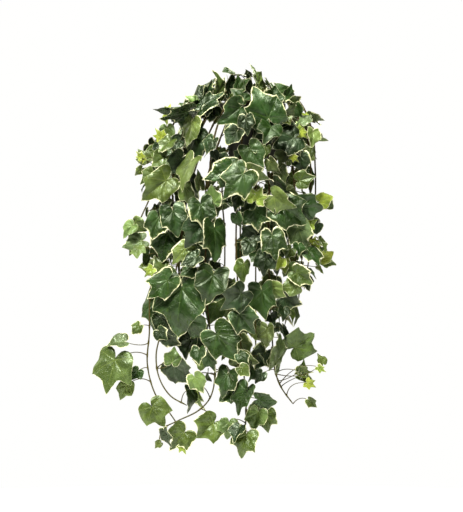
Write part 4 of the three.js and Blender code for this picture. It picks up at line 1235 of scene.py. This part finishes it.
def vein_lines(nodes, x, y):
    """How near a place on a blade is to its main and side veins, from 0 to 1 each."""
    stray = nodes.times(nodes.minus(nodes.noise(26.0, 1.0), 0.5), 0.16)
    y = nodes.plus(y, nodes.times(stray, nodes.math("ABSOLUTE", x)))
    across = nodes.math("ABSOLUTE", nodes.plus(x, nodes.times(stray, y)))
    main = None
    for degrees in MAIN_VEINS:
        angle = math.radians(degrees)
        off = nodes.minus(nodes.times(across, math.cos(angle)), nodes.times(y, math.sin(angle)))
        ahead = nodes.plus(nodes.times(across, math.sin(angle)), nodes.times(y, math.cos(angle)))
        width = nodes.ramp(ahead, 0.0, 0.9, 0.024, 0.006)
        line = nodes.ramp(nodes.math("DIVIDE", nodes.math("ABSOLUTE", off), width), 0.3, 1.3, 1.0, 0.0)
        line = nodes.times(line, nodes.ramp(ahead, -0.02, 0.02))
        line = nodes.times(line, nodes.ramp(ahead, 0.55, 0.95, 1.0, 0.15))
        main = line if main is None else nodes.math("MAXIMUM", main, line)
    slant = nodes.minus(y, nodes.times(across, 0.75))
    uneven = nodes.times(nodes.noise(90.0, 1.0), 5.0)
    wave = nodes.math("SINE", nodes.plus(nodes.times(slant, 44.0), uneven))
    return main, nodes.ramp(wave, 0.86, 1.0)


def leaf_material(name, lower):
    """The skin of a blade: its tone, pale veins, mottling, painted shade and painted sheen, and a thin cream
    margin.
    """
    nodes = Nodes(name, Specular_IOR_Level=0.22 if lower else 0.55, Specular_Tint=(0.84, 1.0, 0.86, 1))
    tone = nodes.attribute("leaf_tone").outputs["Color"]
    chance, margin, _ = nodes.split(nodes.attribute("leaf_traits").outputs["Vector"])
    x, y, from_edge = nodes.split(nodes.attribute("leaf_xy").outputs["Vector"])
    main, side = vein_lines(nodes, x, y)
    mottle = nodes.noise(130.0, 4.0, 0.6)
    patches = nodes.noise(38.0, 2.0)
    painted_shade_clouds = nodes.noise(27.0, 2.0)
    uneven = nodes.noise(150.0, 2.0)
    wander = nodes.noise(34.0, 1.0)
    net = nodes.ramp(nodes.cell_edges(210.0), 0.0, 0.09, 1.0, 0.0)

    # Mottled green, with painted shade in broad clouds and a painted sheen of paler, bluer green in patches
    colour = nodes.mix(nodes.ramp(mottle, 0.32, 0.68, 0.0, 0.8), tone, nodes.tinted(tone, MOTTLE_TINT))
    colour = nodes.mix(nodes.ramp(painted_shade_clouds, 0.40, 0.56, 0.75, 0.0), colour, nodes.tinted(tone, PAINTED_SHADE_TINT))
    painted_sheen = nodes.mix(1.0, nodes.tinted(tone, PAINTED_SHEEN_TINT), PAINTED_SHEEN, "ADD")
    colour = nodes.mix(nodes.ramp(patches, 0.47, 0.63, 0.0, 0.75), colour, painted_sheen)

    # Veins, and the paler green of the lower side
    vein_colour = nodes.mix(0.25, nodes.tinted(tone, VEIN_TINT), VEIN)
    colour = nodes.mix(nodes.times(main, 0.75 if lower else 0.5), colour, vein_colour)
    fine_veins = nodes.math("MAXIMUM", nodes.times(side, 0.2), nodes.times(net, 0.2))
    colour = nodes.mix(fine_veins, colour, vein_colour)
    if lower:
        colour = nodes.mix(0.32, colour, LOWER_GREEN)

    # The margin: cream of uneven width inside a paler green band
    width = nodes.times(margin, nodes.ramp(uneven, 0.3, 0.7, 0.3, 1.5))
    width = nodes.times(width, nodes.ramp(wander, 0.36, 0.62, 0.0, 1.7))
    band = nodes.ramp(nodes.minus(from_edge, nodes.times(width, 2.2)), -0.6, 1.2, 0.3, 0.0)
    colour = nodes.mix(band, colour, BAND_GREEN)
    cream = nodes.mix(nodes.ramp(patches, 0.35, 0.65), *CREAMS)
    colour = nodes.mix(nodes.ramp(nodes.minus(from_edge, width), -0.25, 0.35, 1.0, 0.0), colour, cream)
    nodes.link(colour, nodes.shader.inputs["Base Color"])

    # Gloss and relief
    gloss = nodes.plus(nodes.ramp(mottle, 0.3, 0.7, 0.23, 0.35), nodes.times(chance, 0.08))
    nodes.link(nodes.plus(gloss, 0.16) if lower else gloss, nodes.shader.inputs["Roughness"])
    crinkle = nodes.plus(nodes.times(mottle, 1.1), nodes.times(nodes.noise(62.0, 1.0), 1.6))
    sunk = nodes.plus(nodes.times(main, 0.6), nodes.times(side, 0.25))
    relief = nodes.minus(crinkle, nodes.plus(sunk, nodes.times(net, 0.16)))
    nodes.bump(nodes.times(relief, -1.0) if lower else relief, 0.6, 0.001)
    return nodes.material


def stem_material():
    """Stems and stalks: brown wood at the foot, green at the tips, with fine ridges along them."""
    nodes = Nodes("ivy_stem", Roughness=0.7, Specular_IOR_Level=0.2)
    green = nodes.split(nodes.attribute("leaf_traits").outputs["Vector"])[0]
    grain = nodes.noise(420.0, 3.0)
    wood = nodes.mix(nodes.ramp(grain, 0.35, 0.7), *WOODS)
    fresh = nodes.mix(nodes.ramp(grain, 0.3, 0.7), *STEM_GREENS)
    nodes.link(nodes.mix(green, wood, fresh), nodes.shader.inputs["Base Color"])
    nodes.bump(grain, 0.4, 0.0004)
    return nodes.material


def pot_material():
    """Near-black moulded plastic with faint dust and a fine grain."""
    nodes = Nodes("pot_plastic", Specular_IOR_Level=0.4)
    dust = nodes.noise(30.0, 5.0, 0.65)
    grain = nodes.noise(900.0, 2.0)
    colour = nodes.mix(nodes.ramp(dust, 0.45, 0.75, 0.0, 0.6), *PLASTICS)
    nodes.link(colour, nodes.shader.inputs["Base Color"])
    nodes.link(nodes.ramp(dust, 0.35, 0.75, 0.38, 0.62), nodes.shader.inputs["Roughness"])
    nodes.bump(grain, 0.15, 0.0003)
    return nodes.material


def soil_material():
    """Moist potting soil: dark crumbs with paler fibres and grit."""
    nodes = Nodes("potting_soil", Roughness=0.95, Specular_IOR_Level=0.2)
    coarse = nodes.noise(160.0, 4.0, 0.7)
    fine = nodes.noise(700.0, 3.0, 0.6)
    colour = nodes.mix(nodes.ramp(coarse, 0.35, 0.65), *SOILS)
    colour = nodes.mix(nodes.ramp(fine, 0.62, 0.74, 0.0, 0.7), colour, GRIT)
    nodes.link(colour, nodes.shader.inputs["Base Color"])
    nodes.bump(nodes.plus(coarse, nodes.times(fine, 0.4)), 0.8, 0.0015)
    return nodes.material


def stage_material():
    nodes = Nodes("pale_floor", Base_Color=FLOOR_COLOUR, Roughness=0.9)
    return nodes.material


# Pot and soil


def revolved(name, profile, sides, material):
    """A surface of revolution about +Z from a profile of radius and height in millimetres."""
    points = []
    faces = []
    rows = []
    for radius, height in profile:
        if radius == 0:
            rows.append([len(points)] * sides)
            points.append((0, 0, height * MM))
            continue
        rows.append(list(range(len(points), len(points) + sides)))
        points += [(x, y, height * MM) for x, y in on_circle(radius * MM, sides)]
    for low, high in zip(rows, rows[1:]):
        for i in range(sides):
            j = (i + 1) % sides
            face = [low[i], low[j], high[j], high[i]]
            faces.append(list(dict.fromkeys(face)))
    mesh = bpy.data.meshes.new(name)
    mesh.from_pydata(points, [], faces)
    mesh.materials.append(material)
    mesh.update()
    return add_object(name, mesh)


def apply_modifiers(obj):
    """Keeps a piece's mesh as its modifiers leave it."""
    depsgraph = bpy.context.evaluated_depsgraph_get()
    mesh = bpy.data.meshes.new_from_object(obj.evaluated_get(depsgraph))
    obj.modifiers.clear()
    obj.data = mesh


def make_pot(material):
    """The pot: a tapered cup with a rolled rim, soft edges, a faint step under the rim and drain holes."""
    round_edge = 1.2
    profile = [
        (0, -POT_DEPTH), (POT_BASE_RADIUS - 4, -POT_DEPTH), (POT_BASE_RADIUS - round_edge, -POT_DEPTH),
        (POT_BASE_RADIUS - 0.35, -POT_DEPTH + 0.35), (POT_BASE_RADIUS + 0.05, -POT_DEPTH + round_edge),
        (POT_TOP_RADIUS - 0.6, -5), (POT_TOP_RADIUS - 0.15, -1.2), (POT_TOP_RADIUS + 0.4, -0.2),
        (POT_TOP_RADIUS + 1.2, 0), (RIM_RADIUS - 0.8, 0), (RIM_RADIUS - 0.2, 0.25), (RIM_RADIUS, 0.9),
        (RIM_RADIUS, RIM_HEIGHT - 1.6), (RIM_RADIUS - 0.5, RIM_HEIGHT - 0.5),
        (RIM_RADIUS - 1.6, RIM_HEIGHT), (RIM_RADIUS - RIM_LIP + 1, RIM_HEIGHT),
        (RIM_RADIUS - RIM_LIP - 0.1, RIM_HEIGHT - 0.7), (POT_TOP_RADIUS - WALL + 0.4, 1.2),
        (POT_TOP_RADIUS - WALL, -0.6), (POT_BASE_RADIUS - WALL + 0.1, WALL - POT_DEPTH + 1),
        (POT_BASE_RADIUS - WALL - 1, WALL - POT_DEPTH), (0, WALL - POT_DEPTH),
    ]
    pot = revolved("pot_shell", profile, POT_SIDES, material)
    cutters = []
    for x, y in on_circle(DRAIN_RING * MM, DRAIN_HOLES, math.pi / DRAIN_HOLES):
        bpy.ops.mesh.primitive_cylinder_add(
            vertices=DRAIN_SIDES, radius=DRAIN_RADIUS * MM, depth=4 * WALL * MM,
            location=(x, y, (WALL / 2 - POT_DEPTH) * MM))
        cutter = bpy.context.object
        cut = pot.modifiers.new("drain", "BOOLEAN")
        cut.operation = "DIFFERENCE"
        cut.object = cutter
        cutters.append(cutter)
    apply_modifiers(pot)
    for cutter in cutters:
        bpy.data.objects.remove(cutter)
    pot.data.shade_smooth()
    pot.data.set_sharp_from_angle(angle=math.radians(40))
    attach(pot, "root")
    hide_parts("pot")


def wall_radius(height):
    share = (height + POT_DEPTH - WALL) / (POT_DEPTH - WALL)
    return POT_BASE_RADIUS + (POT_TOP_RADIUS - POT_BASE_RADIUS) * share - WALL


def crumb_shape():
    """The 12 corners and 20 faces of a crumb of radius 1."""
    ring, height = 0.89, 0.45
    upper = [(x, y, height) for x, y in on_circle(ring, 5)]
    lower = [(x, y, -height) for x, y in on_circle(ring, 5, math.pi / 5)]
    corners = [(0, 0, 1), *upper, *lower, (0, 0, -1)]
    faces = []
    for i in range(5):
        j = (i + 1) % 5
        faces += [(0, 1 + i, 1 + j), (1 + i, 6 + i, 1 + j), (6 + i, 6 + j, 1 + j), (11, 6 + j, 6 + i)]
    return corners, faces


def make_soil(material, rng):
    """The soil: an uneven top strewn with crumbs, and its plug in the pot."""
    waves = [
        (rng.uniform(*SOIL_PITCH), rng.uniform(0, TURN), rng.uniform(0, TURN))
        for _ in range(SOIL_WAVES)
    ]
    edge = wall_radius(SOIL_TOP) - SOIL_GAP

    def surface(x, y):
        radius = math.hypot(x, y)
        crown = SOIL_TOP + SOIL_CROWN * (1 - radius / edge)
        rough = sum(math.sin(f * (x * math.cos(a) + y * math.sin(a)) + b) for f, a, b in waves)
        return crown + SOIL_ROUGHNESS * rough * min(1, (edge - radius) / SOIL_EDGE) - SOIL_SUNK

    bottom = WALL - POT_DEPTH + SOIL_GAP
    points = [(0, 0, surface(0, 0))]
    for k in range(1, SOIL_RINGS + 1):
        points += [(x, y, surface(x, y)) for x, y in on_circle(edge * k / SOIL_RINGS, SOIL_SPOKES)]
    points += [(x, y, bottom) for x, y in on_circle(wall_radius(bottom) - SOIL_GAP, SOIL_SPOKES)]
    faces = [(0, 1 + i, 1 + (i + 1) % SOIL_SPOKES) for i in range(SOIL_SPOKES)]
    for k in range(SOIL_RINGS):
        inner, outer = 1 + k * SOIL_SPOKES, 1 + (k + 1) * SOIL_SPOKES
        for i in range(SOIL_SPOKES):
            j = (i + 1) % SOIL_SPOKES
            faces.append((inner + i, outer + i, outer + j, inner + j))
    faces.append(tuple(1 + SOIL_RINGS * SOIL_SPOKES + i for i in range(SOIL_SPOKES))[::-1])
    mesh = Mesh()
    mesh.add(np.array(points, float), faces, 0)
    ball, sides = crumb_shape()
    for _ in range(CRUMBS):
        size = rng.uniform(*CRUMB_SIZES) ** 2 * CRUMB_SIZE
        radius = math.sqrt(rng.random()) * (edge - size - CRUMB_FROM_WALL)
        angle = rng.uniform(0, 2 * math.pi)
        x, y = radius * math.cos(angle), radius * math.sin(angle)
        crumb = np.array([np.array(corner) * size * rng.uniform(*CRUMB_CORNERS) for corner in ball])
        crumb += (x, y, surface(x, y) + size * rng.uniform(*CRUMB_HEIGHT))
        mesh.add(crumb, sides, 0)
    soil = mesh.build("soil_bed", [material])
    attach(soil, "root")
    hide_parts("soil")


# Stage


def aim(obj, target):
    obj.rotation_euler = (Vector(target) - obj.location).to_track_quat("-Z", "Y").to_euler()


def add_light(name, location, size, power, target):
    light = bpy.data.lights.new(name, "AREA")
    light.shape = "DISK"
    light.size = size
    light.energy = power
    light.color = LIGHT_COLOUR
    obj = add_object(name, light)
    obj.location = location
    aim(obj, target)


def make_surround():
    """A white surround that the camera sees and that adds a little light."""
    world = bpy.data.worlds.new("studio")
    bpy.context.scene.world = world
    world.use_nodes = True
    tree = world.node_tree
    background = tree.nodes["Background"]
    background.inputs["Color"].default_value = (*LIGHT_COLOUR, 1)
    background.inputs["Strength"].default_value = SURROUND_LIGHT
    seen = tree.nodes.new("ShaderNodeBackground")
    seen.inputs["Color"].default_value = SURROUND_SEEN
    seen.inputs["Strength"].default_value = 1.0
    rays = tree.nodes.new("ShaderNodeLightPath")
    choose = tree.nodes.new("ShaderNodeMixShader")
    tree.links.new(rays.outputs["Is Camera Ray"], choose.inputs[0])
    tree.links.new(background.outputs[0], choose.inputs[1])
    tree.links.new(seen.outputs[0], choose.inputs[2])
    tree.links.new(choose.outputs[0], tree.nodes["World Output"].inputs["Surface"])


def make_camera(middle):
    """The camera of the front view, aimed square at the plant's middle."""
    camera = bpy.data.cameras.new("camera")
    camera.lens = LENS
    camera.sensor_width = SENSOR
    camera.clip_start, camera.clip_end = CLIP
    obj = add_object("camera", camera)
    distance = LONG_SIDE * PIXEL * LENS / SENSOR
    obj.location = (middle.x, FRONT_DEPTH * MM - distance, middle.z)
    aim(obj, middle)
    bpy.context.scene.camera = obj


def make_stage():
    """A pale floor below the plant, soft lights, a white surround and the camera of the front view."""
    middle = Vector(((MIDDLE_X - AXIS_X) * PIXEL, 0, (RIM_Y - MIDDLE_Y) * PIXEL))
    bpy.ops.mesh.primitive_circle_add(vertices=96, radius=FLOOR_RADIUS, fill_type="NGON",
                                      location=(middle.x, 0, FLOOR_HEIGHT))
    floor = bpy.context.object
    floor.name = "floor"
    floor.data.materials.append(stage_material())
    floor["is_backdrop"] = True
    for light in LIGHTS:
        add_light(*light, middle)
    make_surround()
    make_camera(middle)
    bpy.context.scene.view_settings.view_transform = "Standard"


def main():
    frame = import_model()
    cad_low, cad_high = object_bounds()
    rng = random.Random(SEED)
    paths = stem_paths()
    room = Room(ROOM_CELL)
    leaves = {}
    for name in paths:
        points, neighbours = merged_mesh(frame["nodes"][f"vine_{name}"])
        poses = [read_leaf(points, neighbours, chain) for chain in rim_chains(points, neighbours)]
        leaves[name] = [pose for pose in poses if pose]
        for pose in leaves[name]:
            room.take(blade_samples(pose))
    box = np.array((cad_low, cad_high)) / MM
    add_small_leaves(paths, leaves, room, rng, box)
    add_fill_leaves(paths, leaves, room, rng, box)
    upper, lower = leaf_material("ivy_leaf_upper", False), leaf_material("ivy_leaf_lower", True)
    materials = [upper, lower, stem_material()]
    for name, path in paths.items():
        add_vine(name, path, leaves[name], materials, rng, box)
    make_pot(pot_material())
    make_soil(soil_material(), rng)
    make_stage()
    bpy.context.view_layer.update()


main()
